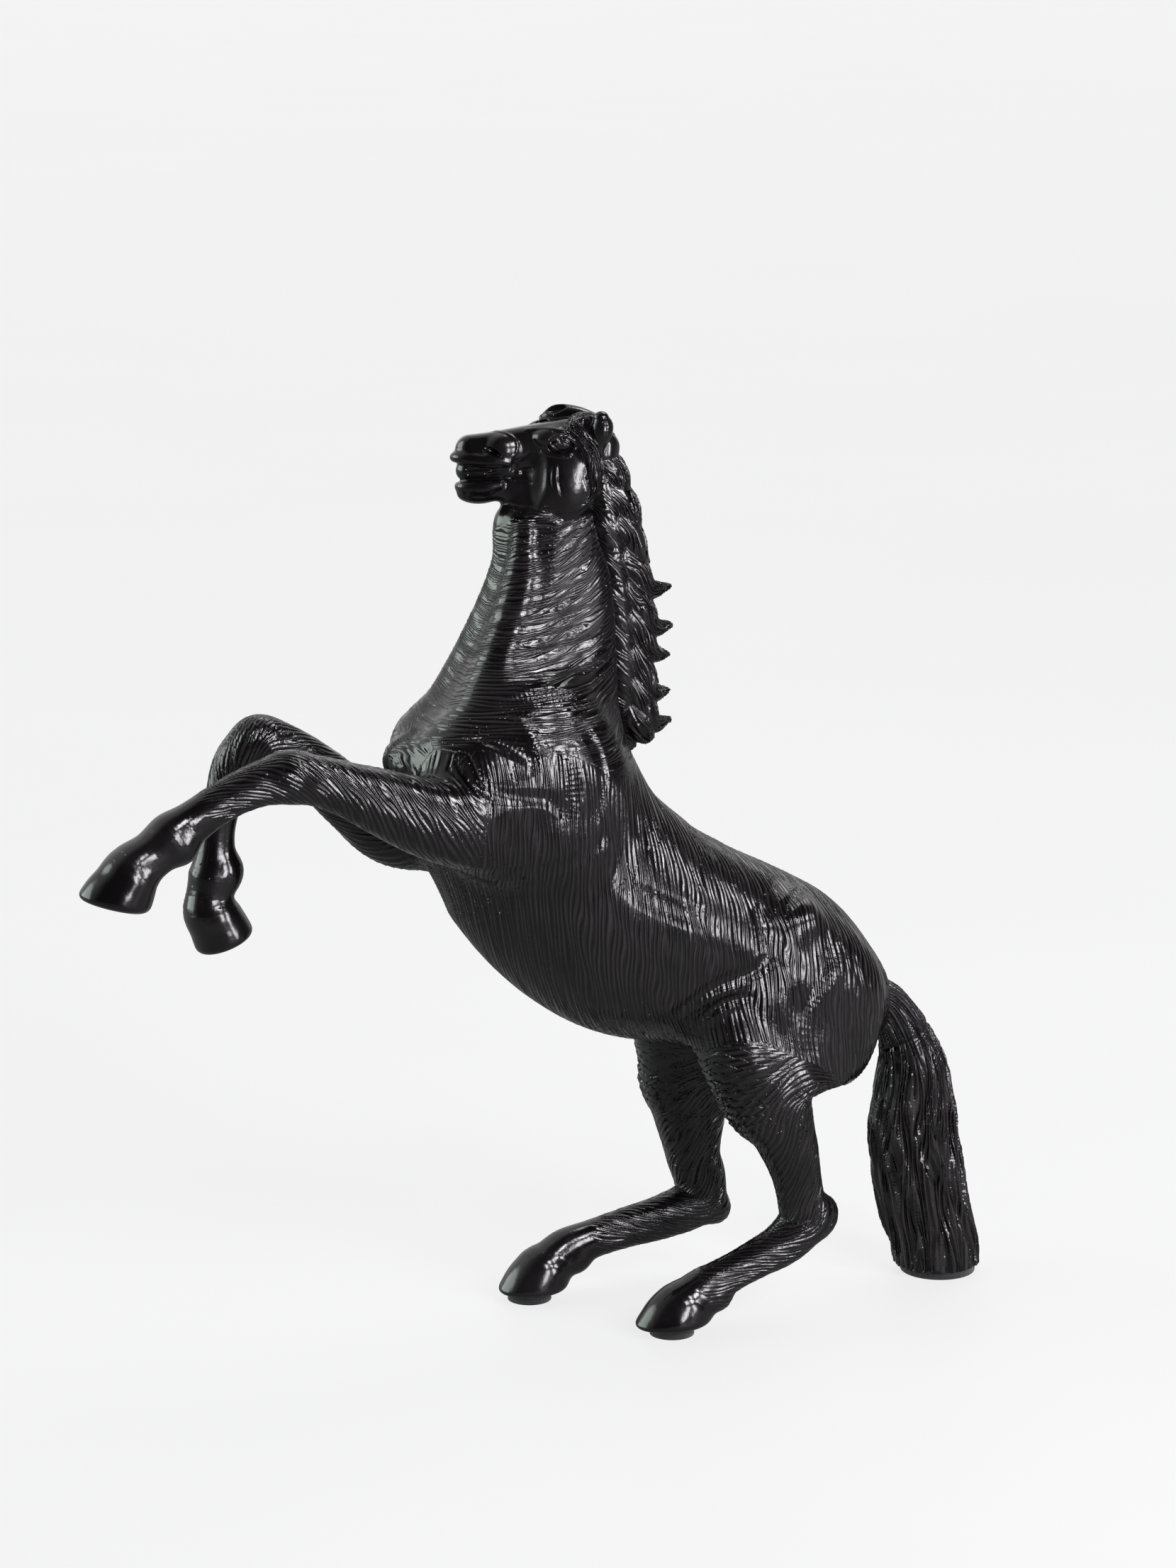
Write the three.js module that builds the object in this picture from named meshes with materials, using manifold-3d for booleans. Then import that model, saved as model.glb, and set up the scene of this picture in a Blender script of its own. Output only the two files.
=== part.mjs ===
// A rearing horse, cast in bronze sections that are pinned and brazed together.
// It stands on its two hind hooves and on the end of its tail, each on a felt pad.
// Millimetres, +Z up. The horse faces -X, its left side is -Y, and its middle plane is Y = 0.
import * as THREE from "three";
import { mergeVertices } from "three/addons/utils/BufferGeometryUtils.js";
import Module from "manifold-3d";

const wasm = await Module();
wasm.setup();

// Driving dimensions
const PAD_THICK = 2.2;
const HOOF_PAD_R = 7.2;
const TAIL_PAD_R = 12.5;
const GAP = 0.3; // clearance between neighbouring pieces
const WALL = 5; // thickness of the hollow castings' wall
const SLEEVE_WALL = 2.5;
const FORE_PIN = { radius: 2.6, length: 22 };
const HIND_PIN = { radius: 3.2, length: 24 };
const TAIL_ROOT_PIN = { radius: 2.2, length: 14 };
const TAIL_PIN = { radius: 2.6, length: 16 };
const MANE_PIN = { radius: 1.4, length: 9 };
const AROUND = 18; // sides of a main section
const LOCK_AROUND = 8; // sides of a lock of hair

// ---------- solids ----------

// A closed three.js geometry as a manifold-3d solid.
function solid(geometry) {
  const bare = geometry.clone();
  for (const name of ["normal", "uv"]) bare.deleteAttribute(name);
  const merged = mergeVertices(bare, 1e-4);
  const triVerts = new Uint32Array(merged.index.array);
  const vertProperties = merged.attributes.position.array;
  return new wasm.Manifold(new wasm.Mesh({ numProp: 3, vertProperties, triVerts }));
}

const union = (solids) => solids.reduce((all, one) => all.add(one));

// The largest connected body of a solid: a cut can leave slivers behind.
function largest(made) {
  return made.decompose().reduce((a, b) => (a.volume() > b.volume() ? a : b));
}

// A manifold-3d solid as a named mesh.
function mesh(name, made, material) {
  const { numProp, vertProperties, triVerts } = made.getMesh();
  const positions = new Float32Array((vertProperties.length / numProp) * 3);
  for (let i = 0; i < positions.length / 3; i++) {
    positions.set(vertProperties.subarray(i * numProp, i * numProp + 3), i * 3);
  }
  const geometry = new THREE.BufferGeometry();
  geometry.setAttribute("position", new THREE.BufferAttribute(positions, 3));
  geometry.setIndex(new THREE.BufferAttribute(triVerts, 1));
  geometry.computeVertexNormals();
  const made3d = new THREE.Mesh(geometry, material);
  made3d.name = name;
  return made3d;
}

// A limb: oval sections along a smooth line. A station is [x, y, z, half depth, half width];
// the width lies along side, and grow widens every section.
function limb(stations, { around = AROUND, rings, grow = 0, side = [0, 1, 0] } = {}) {
  const count = rings ?? Math.round(stations.length * 1.45);
  const line = new THREE.CatmullRomCurve3(stations.map(([x, y, z]) => new THREE.Vector3(x, y, z)));
  const sizes = new THREE.CatmullRomCurve3(stations.map((s) => new THREE.Vector3(s[3], s[4], 0)));
  const geometry = new THREE.CylinderGeometry(1, 1, 1, around, count);
  const position = geometry.attributes.position;
  const sideways = new THREE.Vector3(...side);
  const point = new THREE.Vector3();
  for (let i = 0; i < position.count; i++) {
    point.fromBufferAttribute(position, i);
    const t = THREE.MathUtils.clamp(0.5 - point.y, 0, 1);
    const tangent = line.getTangent(t);
    const width = sideways.clone().addScaledVector(tangent, -sideways.dot(tangent)).normalize();
    const depth = new THREE.Vector3().crossVectors(width, tangent);
    const size = sizes.getPoint(t);
    const place = line.getPoint(t);
    place.addScaledVector(width, point.x * (size.y + grow));
    place.addScaledVector(depth, point.z * (size.x + grow));
    const end = t < 1e-6 ? -grow : t > 1 - 1e-6 ? grow : 0;
    place.addScaledVector(tangent, end);
    position.setXYZ(i, place.x, place.y, place.z);
  }
  const made = solid(geometry);
  if (made.volume() > 0) return made;
  geometry.setIndex([...geometry.index.array].reverse());
  return solid(geometry);
}

// An ellipsoid bulge of muscle or bone; turn is the angle about Y, in degrees.
function bulge([x, y, z], [rx, ry, rz], turn = 0, around = 12) {
  const geometry = new THREE.SphereGeometry(1, around, Math.round(around * 0.6));
  geometry.scale(rx, ry, rz);
  geometry.rotateY(THREE.MathUtils.degToRad(turn));
  geometry.translate(x, y, z);
  return solid(geometry);
}

// A round pin centred on a point.
function pin([x, y, z], direction, { radius, length }, grow = 0, around = 16) {
  const geometry = new THREE.CylinderGeometry(radius + grow, radius + grow, length + 2 * grow, around);
  const up = new THREE.Vector3(0, 1, 0);
  const way = new THREE.Vector3(...direction).normalize();
  geometry.applyQuaternion(new THREE.Quaternion().setFromUnitVectors(up, way));
  geometry.translate(x, y, z);
  return solid(geometry);
}

// A block whose near face lies on a joint plane and which reaches along the plane's normal.
function block([x, y, z], normal, [width, depth, height], shift = 0) {
  const geometry = new THREE.BoxGeometry(width, depth, height);
  geometry.translate(0, 0, height / 2 + shift);
  const up = new THREE.Vector3(0, 0, 1);
  const way = new THREE.Vector3(...normal).normalize();
  geometry.applyQuaternion(new THREE.Quaternion().setFromUnitVectors(up, way));
  geometry.translate(x, y, z);
  return solid(geometry);
}

const bothSides = (make) => [make(-1), make(1)];

// ---------- the horse's shape ----------

const BARREL = [
  [-70, 0, 190, 7, 10],
  [-61, 0, 186, 19, 21],
  [-46, 0, 178.5, 29.5, 27],
  [-30, 0, 166, 37, 29],
  [-13, 0, 145.5, 37.8, 30],
  [4, 0, 132, 37.2, 31],
  [22, 0, 124, 34.8, 30],
  [43, 0, 116.5, 31.6, 28],
  [60, 0, 107.5, 30, 27],
  [75, 0, 99.5, 24, 22],
  [87, 0, 93.5, 16, 15],
  [94, 0, 89.5, 6, 6],
];

const NECK = [
  [-33, 0, 176, 33, 24],
  [-31, 0, 191, 33, 23.5],
  [-27.5, 0, 207, 28.5, 20],
  [-24, 0, 222, 23.6, 16.8],
  [-21.4, 0, 236, 20.2, 14.5],
  [-19.8, 0, 250, 17.2, 13],
  [-18.6, 0, 264, 14.8, 12],
  [-16.5, 1, 275, 12.5, 11],
  [-13.5, 2, 284, 9.5, 9],
  [-12.5, 2, 289, 5, 5],
];

const LEFT_FORELEG = [
  [-34, -16, 176, 20, 12],
  [-48, -21, 172, 16.5, 12],
  [-60, -24, 174, 13.6, 10.5],
  [-73, -25, 178, 12, 9.3],
  [-88, -25, 184.6, 10, 8],
  [-99, -25, 189.4, 8.4, 7],
  [-108, -25, 192.6, 7.8, 7],
  [-117, -25, 194, 7.8, 7.2],
  [-126, -25, 193, 6.9, 6.4],
  [-137, -25, 189, 5.8, 5.2],
  [-147, -25, 183.4, 5.8, 5],
  [-153, -25, 179.6, 7.2, 6.2],
  [-159.5, -25, 175, 6.2, 5.8],
  [-165.5, -25, 170.6, 7.4, 7.2],
  [-170.5, -25, 166, 8.4, 8],
  [-173.5, -25, 160.5, 9, 8.8],
];

const RIGHT_FORELEG = [
  [-34, 16, 176, 19, 12],
  [-52, 21, 166, 16.5, 12],
  [-66, 25, 164.5, 13.4, 10],
  [-80, 26, 173.5, 10.2, 8.8],
  [-91, 26, 183.5, 8.8, 7.8],
  [-101, 26, 191, 8, 7.2],
  [-109, 26, 194, 7.8, 7.4],
  [-116.5, 26, 189, 7.2, 6.9],
  [-121, 26, 178.5, 6.1, 5.6],
  [-123.6, 26, 168, 5.6, 5.2],
  [-124.6, 26, 159, 6.2, 5.6],
  [-125, 26, 153, 7.8, 6.6],
  [-126.6, 26, 147, 6.4, 6],
  [-127, 26, 141.5, 7.7, 7.4],
  [-125.5, 26, 136.5, 8.2, 8.2],
  [-122.5, 26, 131.5, 8.6, 8.8],
];

const LEFT_HINDLEG = [
  [64, -13, 108, 22, 13],
  [55, -18, 97, 25, 14],
  [46, -22, 85, 25, 14],
  [44, -24, 74, 16, 12],
  [48, -25, 64, 10.6, 10],
  [51, -25, 56, 9.2, 9],
  [53.2, -25, 48, 8, 7.8],
  [54.8, -25, 40, 7.8, 7.2],
  [56, -25, 32.5, 8.6, 7.2],
  [49.5, -25, 26, 7.8, 6.8],
  [39, -25, 21.3, 6.6, 6],
  [29, -25, 17, 6.6, 5.8],
  [22.5, -24.5, 13, 8.2, 6.6],
  [16.6, -24.3, 10, 9, 7.4],
  [12, -24.3, 6.8, 10.6, 8.6],
  [11, -24.3, 2.2, 12, 9.6],
];

const RIGHT_HINDLEG = [
  [62, 13, 106, 22, 13],
  [51, 18, 95, 25, 14],
  [41, 22, 82, 23.5, 14],
  [36, 24, 70, 17.2, 12],
  [37, 25, 60, 13.4, 10.4],
  [37.6, 25, 50, 10.8, 9.2],
  [38.6, 25, 41, 9.2, 8],
  [42.5, 25, 32.5, 9.8, 7.4],
  [42, 25, 25, 10, 7.3],
  [29, 25, 21.5, 8.6, 6.6],
  [14, 25, 19.4, 7.6, 6],
  [2, 24.5, 17.4, 7.2, 5.8],
  [-7, 24, 15, 7.6, 6.6],
  [-14, 23.4, 12, 7.6, 7.4],
  [-18.5, 23.4, 7.5, 9.2, 8.6],
  [-20.6, 23.4, 2.2, 10.2, 9.6],
];

const TAIL = [
  [86, 0, 100, 6, 6],
  [94, 0, 96, 7, 7],
  [100, 0, 89, 8, 8],
  [104.5, 0, 80, 9.6, 9],
  [106.5, 0, 71, 12.4, 10.5],
  [107, 0, 57, 15, 11.5],
  [108.5, 0, 42, 15.6, 12],
  [111.5, 0, 26, 15.4, 12.5],
  [115, 0, 14, 14.6, 13],
  [117, 0, 2.2, 14.8, 13],
];

// Muscles and bones that stand out of the barrel, on each side: centre, radii and turn about Y.
const SIDE_BULGES = [
  { at: [-28, 20, 187], radii: [19, 9, 24], turn: -18 }, // shoulder blade
  { at: [-50, 18, 184], radii: [18, 12, 15], turn: 30 }, // point of the shoulder
  { at: [-33, 22, 166], radii: [20, 10, 15], turn: 20 }, // triceps
  { at: [-63, 9, 186], radii: [12, 9, 14], turn: 0 }, // breast
  { at: [62, 14, 110], radii: [24, 13.5, 18], turn: 30 }, // haunch
  { at: [71, 13, 90], radii: [15, 12, 20], turn: -6 }, // buttock
  { at: [29, 21, 91], radii: [10, 9, 12], turn: 20 }, // stifle
];

// The head is shaped about its own middle: forwards, to its left, and up, in millimetres.
const HEAD_AT = new THREE.Vector3(-13.6, 2, 280);
const HEAD_YAW = 14; // degrees, to the horse's right
const HEAD_TILT = 5; // degrees, the crown towards the horse's left
const HEAD_FORWARD = new THREE.Vector3(-1, 0, 0).applyAxisAngle(
  new THREE.Vector3(0, 0, 1),
  THREE.MathUtils.degToRad(-HEAD_YAW),
);
const HEAD_LEFT = new THREE.Vector3(0, 0, 1)
  .cross(HEAD_FORWARD)
  .applyAxisAngle(HEAD_FORWARD, THREE.MathUtils.degToRad(HEAD_TILT));
const HEAD_UP = new THREE.Vector3().crossVectors(HEAD_FORWARD, HEAD_LEFT);

const SKULL = [
  [-12, 0, 6, 6, 6.5],
  [-7, 0, 5, 9, 9.3],
  [1, 0, 4.2, 10.3, 10.6],
  [8, 0, 4.6, 9.4, 10],
  [15, 0, 4.6, 8.3, 7.8],
  [22, 0, 4, 7.2, 6.3],
  [28.5, 0, 3.6, 6.6, 6.2],
  [34, 0, 3, 5.6, 5.8],
  [37, 0, 2.2, 3.8, 4.4],
];

const UPPER_TEETH = [
  [16, 0, -2, 3, 4],
  [22, 0, -2.8, 3.4, 4.8],
  [29, 0, -3, 3.2, 4.8],
  [35, 0, -3, 3, 4.2],
];

const LOWER_JAW = [
  [-6, 0, -6, 6, 7],
  [0, 0, -9.5, 9.6, 8.6],
  [6, 0, -9.4, 9.6, 8.8],
  [14, 0, -9, 8.4, 7],
  [20, 0, -9, 6.6, 5.4],
  [27, 0, -8.2, 4.4, 4.8],
  [32, 0, -7.8, 3.6, 4.8],
  [36.5, 0, -7.4, 2.4, 3.4],
];

const LEFT_EAR = [
  [-2, 6, 9, 3, 3],
  [-5, 7.5, 11.5, 3.4, 3.8],
  [-9, 8.6, 14.4, 2.8, 3.6],
  [-12.4, 9, 16.8, 1.2, 1.8],
];

const RIGHT_EAR = [
  [-5, -5, 10, 2.6, 3],
  [-1, -7, 15, 2.4, 3.8],
  [4, -8.6, 16, 2, 3.4],
  [9, -9.4, 14.6, 1, 1.4],
];

const FORELOCK = [
  [-7, 0, 13, 2.2, 3.4],
  [-2, 3, 15, 2.2, 3.2],
  [-1.6, 7.6, 12.4, 2, 3],
  [-4, 10.2, 6.5, 1.8, 2.4],
  [-6, 10.6, 0, 1.6, 2],
  [-7, 10, -7, 1, 1.2],
];

const CHEEK = { at: [5, 6.5, -6], radii: [11, 4, 12] };
const BROW = { at: [4, 8.6, 7], radii: [5, 3.4, 4.6] };

const headPoint = (forward, left, up) =>
  HEAD_AT.clone()
    .addScaledVector(HEAD_FORWARD, forward)
    .addScaledVector(HEAD_LEFT, left)
    .addScaledVector(HEAD_UP, up);

const headStations = (stations) =>
  stations.map(([forward, left, up, ...sizes]) => [...headPoint(forward, left, up).toArray(), ...sizes]);

function headLimb(stations, around, grow) {
  return limb(headStations(stations), { around, grow, side: HEAD_LEFT.toArray() });
}

function headBulge({ at: [forward, left, up], radii: [rx, ry, rz] }, sign, grow) {
  const geometry = new THREE.SphereGeometry(1, 12, 7);
  geometry.scale(rx + grow, ry + grow, rz + grow);
  const basis = new THREE.Matrix4().makeBasis(HEAD_FORWARD, HEAD_LEFT, HEAD_UP);
  basis.setPosition(headPoint(forward, left * sign, up));
  geometry.applyMatrix4(basis);
  return solid(geometry);
}

function headSolid(grow = 0) {
  return union([
    headLimb(SKULL, 16, grow),
    headLimb(UPPER_TEETH, 10, grow),
    headLimb(LOWER_JAW, 14, grow),
    headLimb(LEFT_EAR, LOCK_AROUND, grow),
    headLimb(RIGHT_EAR, LOCK_AROUND, grow),
    headLimb(FORELOCK, LOCK_AROUND, grow),
    ...bothSides((sign) => headBulge(CHEEK, sign, grow)),
    ...bothSides((sign) => headBulge(BROW, sign, grow)),
  ]);
}

function trunkSolid(grow = 0) {
  const bulges = SIDE_BULGES.flatMap(({ at: [x, y, z], radii, turn }) =>
    bothSides((sign) => bulge([x, y * sign, z], radii.map((r) => r + grow), turn)),
  );
  return union([limb(BARREL, { around: 20, grow }), limb(NECK, { grow }), ...bulges]);
}

function legSolids() {
  const legs = [LEFT_FORELEG, RIGHT_FORELEG, LEFT_HINDLEG, RIGHT_HINDLEG];
  return union(legs.map((stations) => limb(stations, { around: 14 })));
}

// Locks of the mane, from the crest of the neck to their tips.
const MANE_ROOT = [
  [-10, 1, 288, 3, 4],
  [-7.5, 0, 281, 4.5, 5.6],
  [-5, 0, 268, 6, 6.6],
  [-2.5, 0, 252, 6.5, 7],
  [0, 0, 232, 6.5, 7],
  [1.5, 0, 212, 6.5, 6.6],
  [3, 0, 199, 5.4, 5],
  [5, 0, 189.5, 2.2, 2],
];

const MANE_LOCKS = [
  [[-9, 1, 286], [-5, 0, 285], [-1.5, -1, 280]],
  [[-7, 0, 280], [-1.5, -1, 276], [3, -1, 268]],
  [[-5, 0, 271], [2, -1, 266], [7, -1, 257]],
  [[-3, 0, 262], [4, -1, 256], [9.5, -1, 247]],
  [[-2, 0, 252], [6, -1, 246], [17, 0, 238]],
  [[-1, 0, 243], [8, -1, 235], [18, 0, 225.5]],
  [[0, 0, 233], [8, -1, 225], [17, 0, 216]],
  [[1, 0, 222], [8, -1, 212], [17, 0, 204.5]],
  [[2, 0, 211], [9, -1, 201], [18, 0, 195.5]],
  [[4, 0, 200], [8, -1, 196], [12, 0, 191.5]],
];
const LOCK_SIZES = [[6.5, 6], [5.4, 5.4], [1.6, 1.8]];

function maneSolid() {
  const locks = MANE_LOCKS.map((points) =>
    limb(points.map((p, i) => [...p, ...LOCK_SIZES[i]]), { around: LOCK_AROUND, rings: 5 }),
  );
  return union([limb(MANE_ROOT, { around: 12 }), ...locks]);
}

// ---------- joints between the castings ----------

const NECK_JOINT = { at: [-29, 0, 206], normal: [0.12, 0, 0.99] };
const HEAD_JOINT = { at: [-19.5, 0, 257], normal: [0.12, 0, 0.99] };
const FORE_JOINTS = [
  { at: [-78, -25, 180.5], normal: [-0.97, 0, 0.25], along: [-0.92, 0, 0.4] },
  { at: [-78, 26, 172], normal: [-0.97, 0, 0.25], along: [-0.74, 0, 0.67] },
];
const HIND_JOINTS = [
  { at: [48, -25, 62], normal: [0, 0, -1], along: [0.35, 0, -0.94] },
  { at: [37.3, 25, 58], normal: [0, 0, -1], along: [0.1, 0, -0.99] },
];
const TAIL_JOINT = { at: [106, 0, 78], normal: [0.25, 0, -0.97], along: [0.1, 0, -1] };
const TAIL_ROOT = { at: [92, 0, 94.5], along: [0.75, 0, -0.66] };
const MANE_PINS = {
  mane_pin_upper: [-4.2, 0, 266],
  mane_pin_middle: [-1, 0, 239],
  mane_pin_lower: [0.6, 0, 212],
};
const manePin = (at, grow) => pin(at, [1, 0, 0], MANE_PIN, grow, 12);
const manePinHoles = union(Object.values(MANE_PINS).map((at) => manePin(at, GAP)));

const trunk = trunkSolid();
const head = headSolid();
const horse = union([trunk, legSolids(), head]);

// The hollows of the neck and the barrel, narrower than the castings by their wall.
const neckHollow = (inset) => limb(NECK.slice(0, 7), { around: 12, grow: -inset });
const barrelHollow = (inset) => limb(BARREL.slice(2, 10), { around: 12, grow: -inset });

const pinHoles = union([
  ...FORE_JOINTS.map(({ at, along }) => pin(at, along, FORE_PIN, GAP)),
  ...HIND_JOINTS.map(({ at, along }) => pin(at, along, HIND_PIN, GAP)),
  pin(TAIL_ROOT.at, TAIL_ROOT.along, TAIL_ROOT_PIN, GAP),
  manePinHoles,
]);
const shell = horse.subtract(union([neckHollow(WALL), barrelHollow(WALL), pinHoles]));

// Each limb is what of the shell lies past its joint plane. The trunk keeps the rest, and stops a
// gap short of the plane: a block with clear set starts that gap earlier.
const REACH = 200; // further than any casting goes past its joint plane
const UPPER_SIZE = [110, 90, REACH];
const FORE_SIZE = [REACH, 60, REACH];
const HIND_SIZE = [130, 80, REACH];
const shiftOf = (clear) => (clear ? -GAP : 0);
const upperBlock = ({ at, normal }, clear) => block(at, normal, UPPER_SIZE, shiftOf(clear));
const foreBlock = ({ at: [x, y, z], normal }, clear) =>
  block([x, Math.sign(y) * 38, z - 20], normal, FORE_SIZE, shiftOf(clear));
const hindBlock = ({ at: [, y, z], normal }, clear) =>
  block([30, Math.sign(y) * 40, z], normal, HIND_SIZE, shiftOf(clear));

const foreSolids = FORE_JOINTS.map((joint) => largest(shell.intersect(foreBlock(joint))));
const hindSolids = HIND_JOINTS.map((joint) => largest(shell.intersect(hindBlock(joint))));
const upper = shell.intersect(upperBlock(NECK_JOINT));
const headCasting = largest(upper.intersect(upperBlock(HEAD_JOINT)));
const neckCasting = largest(upper.subtract(upperBlock(HEAD_JOINT, true)));
const cleared = union([
  ...FORE_JOINTS.map((joint) => foreBlock(joint, true)),
  ...HIND_JOINTS.map((joint) => hindBlock(joint, true)),
  upperBlock(NECK_JOINT, true),
]);
const torsoCasting = largest(shell.subtract(cleared));

// The mane and the tail are fitted over the castings they are brazed to.
const grownTrunk = union([trunkSolid(GAP), headSolid(GAP)]);
const maneCasting = largest(maneSolid().subtract(grownTrunk).subtract(manePinHoles));
const tail = limb(TAIL, { around: 20 })
  .subtract(grownTrunk)
  .subtract(pin(TAIL_ROOT.at, TAIL_ROOT.along, TAIL_ROOT_PIN, GAP))
  .subtract(pin(TAIL_JOINT.at, TAIL_JOINT.along, TAIL_PIN, GAP));
const TAIL_SIZE = [80, 80, 120];
const hairBlock = (clear) => block(TAIL_JOINT.at, TAIL_JOINT.normal, TAIL_SIZE, shiftOf(clear));
const hairCasting = largest(tail.intersect(hairBlock()));
const dockCasting = largest(tail.subtract(hairBlock(true)));

// A sleeve that registers two hollow castings across their joint.
function sleeve({ at, normal }, halfLength) {
  const ring = neckHollow(WALL + GAP).subtract(neckHollow(WALL + GAP + SLEEVE_WALL));
  const slab = block(at, normal, [100, 80, 2 * halfLength], -halfLength);
  return largest(ring.intersect(slab));
}

// ---------- pads ----------

const LEFT_PAD = [10, -24.3];
const RIGHT_PAD = [-20.6, 23.4];
const TAIL_PAD = [117.3, 0];
const PAD_AROUND = 36;
const pad = ([x, y], radius) =>
  pin([x, y, PAD_THICK / 2], [0, 0, 1], { radius, length: PAD_THICK }, 0, PAD_AROUND);

// ---------- materials and assembly ----------

const bronze = new THREE.MeshStandardMaterial({ color: 0x171416, roughness: 0.3, metalness: 0.6 });
const pinMetal = new THREE.MeshStandardMaterial({ color: 0xa87a45, roughness: 0.4, metalness: 1 });
const felt = new THREE.MeshStandardMaterial({ color: 0x0f0d0d, roughness: 0.95, metalness: 0 });

// Everything that stands on a pad stops just above it.
const aboveFloor = block([0, 0, PAD_THICK + GAP], [0, 0, 1], [600, 300, 400]);
const onPads = (made) => largest(made.intersect(aboveFloor));

const horseStatue = new THREE.Group();
const add = (name, made, material) => horseStatue.add(mesh(name, made, material));

add("torso_casting", torsoCasting, bronze);
add("neck_casting", neckCasting, bronze);
add("head_casting", headCasting, bronze);
add("mane_casting", maneCasting, bronze);
add("left_foreleg_casting", foreSolids[0], bronze);
add("right_foreleg_casting", foreSolids[1], bronze);
add("left_hindleg_casting", onPads(hindSolids[0]), bronze);
add("right_hindleg_casting", onPads(hindSolids[1]), bronze);
add("tail_dock_casting", dockCasting, bronze);
add("tail_hair_casting", onPads(hairCasting), bronze);
add("neck_joint_sleeve", sleeve(NECK_JOINT, 9), pinMetal);
add("head_joint_sleeve", sleeve(HEAD_JOINT, 6), pinMetal);
add("left_foreleg_pin", pin(FORE_JOINTS[0].at, FORE_JOINTS[0].along, FORE_PIN), pinMetal);
add("right_foreleg_pin", pin(FORE_JOINTS[1].at, FORE_JOINTS[1].along, FORE_PIN), pinMetal);
add("left_hindleg_pin", pin(HIND_JOINTS[0].at, HIND_JOINTS[0].along, HIND_PIN), pinMetal);
add("right_hindleg_pin", pin(HIND_JOINTS[1].at, HIND_JOINTS[1].along, HIND_PIN), pinMetal);
add("tail_root_pin", pin(TAIL_ROOT.at, TAIL_ROOT.along, TAIL_ROOT_PIN), pinMetal);
add("tail_joint_pin", pin(TAIL_JOINT.at, TAIL_JOINT.along, TAIL_PIN), pinMetal);
for (const [name, at] of Object.entries(MANE_PINS)) add(name, manePin(at, 0), pinMetal);
add("left_hoof_pad", pad(LEFT_PAD, HOOF_PAD_R), felt);
add("right_hoof_pad", pad(RIGHT_PAD, HOOF_PAD_R), felt);
add("tail_pad", pad(TAIL_PAD, TAIL_PAD_R), felt);

// The origin is the middle of the bounding box, on the floor.
const box = new THREE.Box3().setFromObject(horseStatue);
const centre = box.getCenter(new THREE.Vector3());
horseStatue.position.set(-centre.x, -centre.y, -box.min.z);

export default horseStatue;
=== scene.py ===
"""A rearing bronze horse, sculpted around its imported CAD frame.

The horse is one smooth implicit surface in the CAD's millimetres. Each casting is the part of that
surface on its own side of the joints, so the castings meet without a step, as brazed bronze does.
"""

import math
from concurrent.futures import ThreadPoolExecutor

import bmesh
import bpy
import numpy as np
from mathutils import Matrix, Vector


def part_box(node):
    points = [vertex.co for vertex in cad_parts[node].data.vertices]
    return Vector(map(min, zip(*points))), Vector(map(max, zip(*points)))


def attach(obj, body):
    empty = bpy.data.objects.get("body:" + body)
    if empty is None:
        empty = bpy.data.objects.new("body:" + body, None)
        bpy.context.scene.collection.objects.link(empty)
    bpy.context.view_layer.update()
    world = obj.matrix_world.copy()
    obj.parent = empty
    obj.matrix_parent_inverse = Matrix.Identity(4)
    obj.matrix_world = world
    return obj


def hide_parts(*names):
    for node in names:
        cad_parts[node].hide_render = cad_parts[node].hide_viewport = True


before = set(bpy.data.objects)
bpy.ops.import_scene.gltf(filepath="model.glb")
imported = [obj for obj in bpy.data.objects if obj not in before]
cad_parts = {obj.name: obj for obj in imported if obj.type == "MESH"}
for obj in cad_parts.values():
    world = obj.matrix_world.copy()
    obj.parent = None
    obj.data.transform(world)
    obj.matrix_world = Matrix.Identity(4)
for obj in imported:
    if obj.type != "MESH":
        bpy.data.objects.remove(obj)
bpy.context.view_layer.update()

MM = 0.001
PAD_THICK = 2.2
GAP = 0.3
SOLE = PAD_THICK + GAP
TAIL_PAD_X = 117.3
pad_low, pad_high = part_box("tail_pad")
SHIFT = np.array([
    (pad_low.x + pad_high.x) / 2 / MM - TAIL_PAD_X,
    (pad_low.y + pad_high.y) / 2 / MM,
    0.0,
])
COARSE = 1.0  # grid factor while trying things


# ---------------- implicit shapes

def row_frame(points):
    """The horse's own millimetres to the row frame's metres."""
    return (np.asarray(points, float) + SHIFT) * MM


TINY = 1e-9


def unit(v):
    v = np.asarray(v, float)
    return v / np.maximum(np.linalg.norm(v, axis=-1, keepdims=True), TINY)


def smooth_path(stations, step):
    """A smooth line through the stations, resampled to an even step of its first three numbers."""
    s = np.asarray(stations, float)
    chord = np.r_[0, np.cumsum(np.linalg.norm(np.diff(s[:, :3], axis=0), axis=1))]
    slope = np.empty_like(s)
    slope[1:-1] = (s[2:] - s[:-2]) / (chord[2:] - chord[:-2])[:, None]
    slope[0] = (s[1] - s[0]) / (chord[1] - chord[0])
    slope[-1] = (s[-1] - s[-2]) / (chord[-1] - chord[-2])
    places = np.linspace(0, chord[-1], max(3, int(chord[-1] / step) + 1))
    i = np.clip(np.searchsorted(chord, places, side="right") - 1, 0, len(s) - 2)
    width = (chord[i + 1] - chord[i])[:, None]
    t = (places - chord[i])[:, None] / width
    h = 2 * t**3 - 3 * t**2 + 1, t**3 - 2 * t**2 + t, -2 * t**3 + 3 * t**2, t**3 - t**2
    return h[0] * s[i] + h[1] * width * slope[i] + h[2] * s[i + 1] + h[3] * width * slope[i + 1]


def spread(work, rows, chunk=40000):
    """The results of work over chunks of the rows, done on several threads and joined in order."""
    chunks = [rows[a:a + chunk] for a in range(0, len(rows), chunk)]
    with ThreadPoolExecutor(4) as pool:
        return np.concatenate(list(pool.map(work, chunks)))


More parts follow.
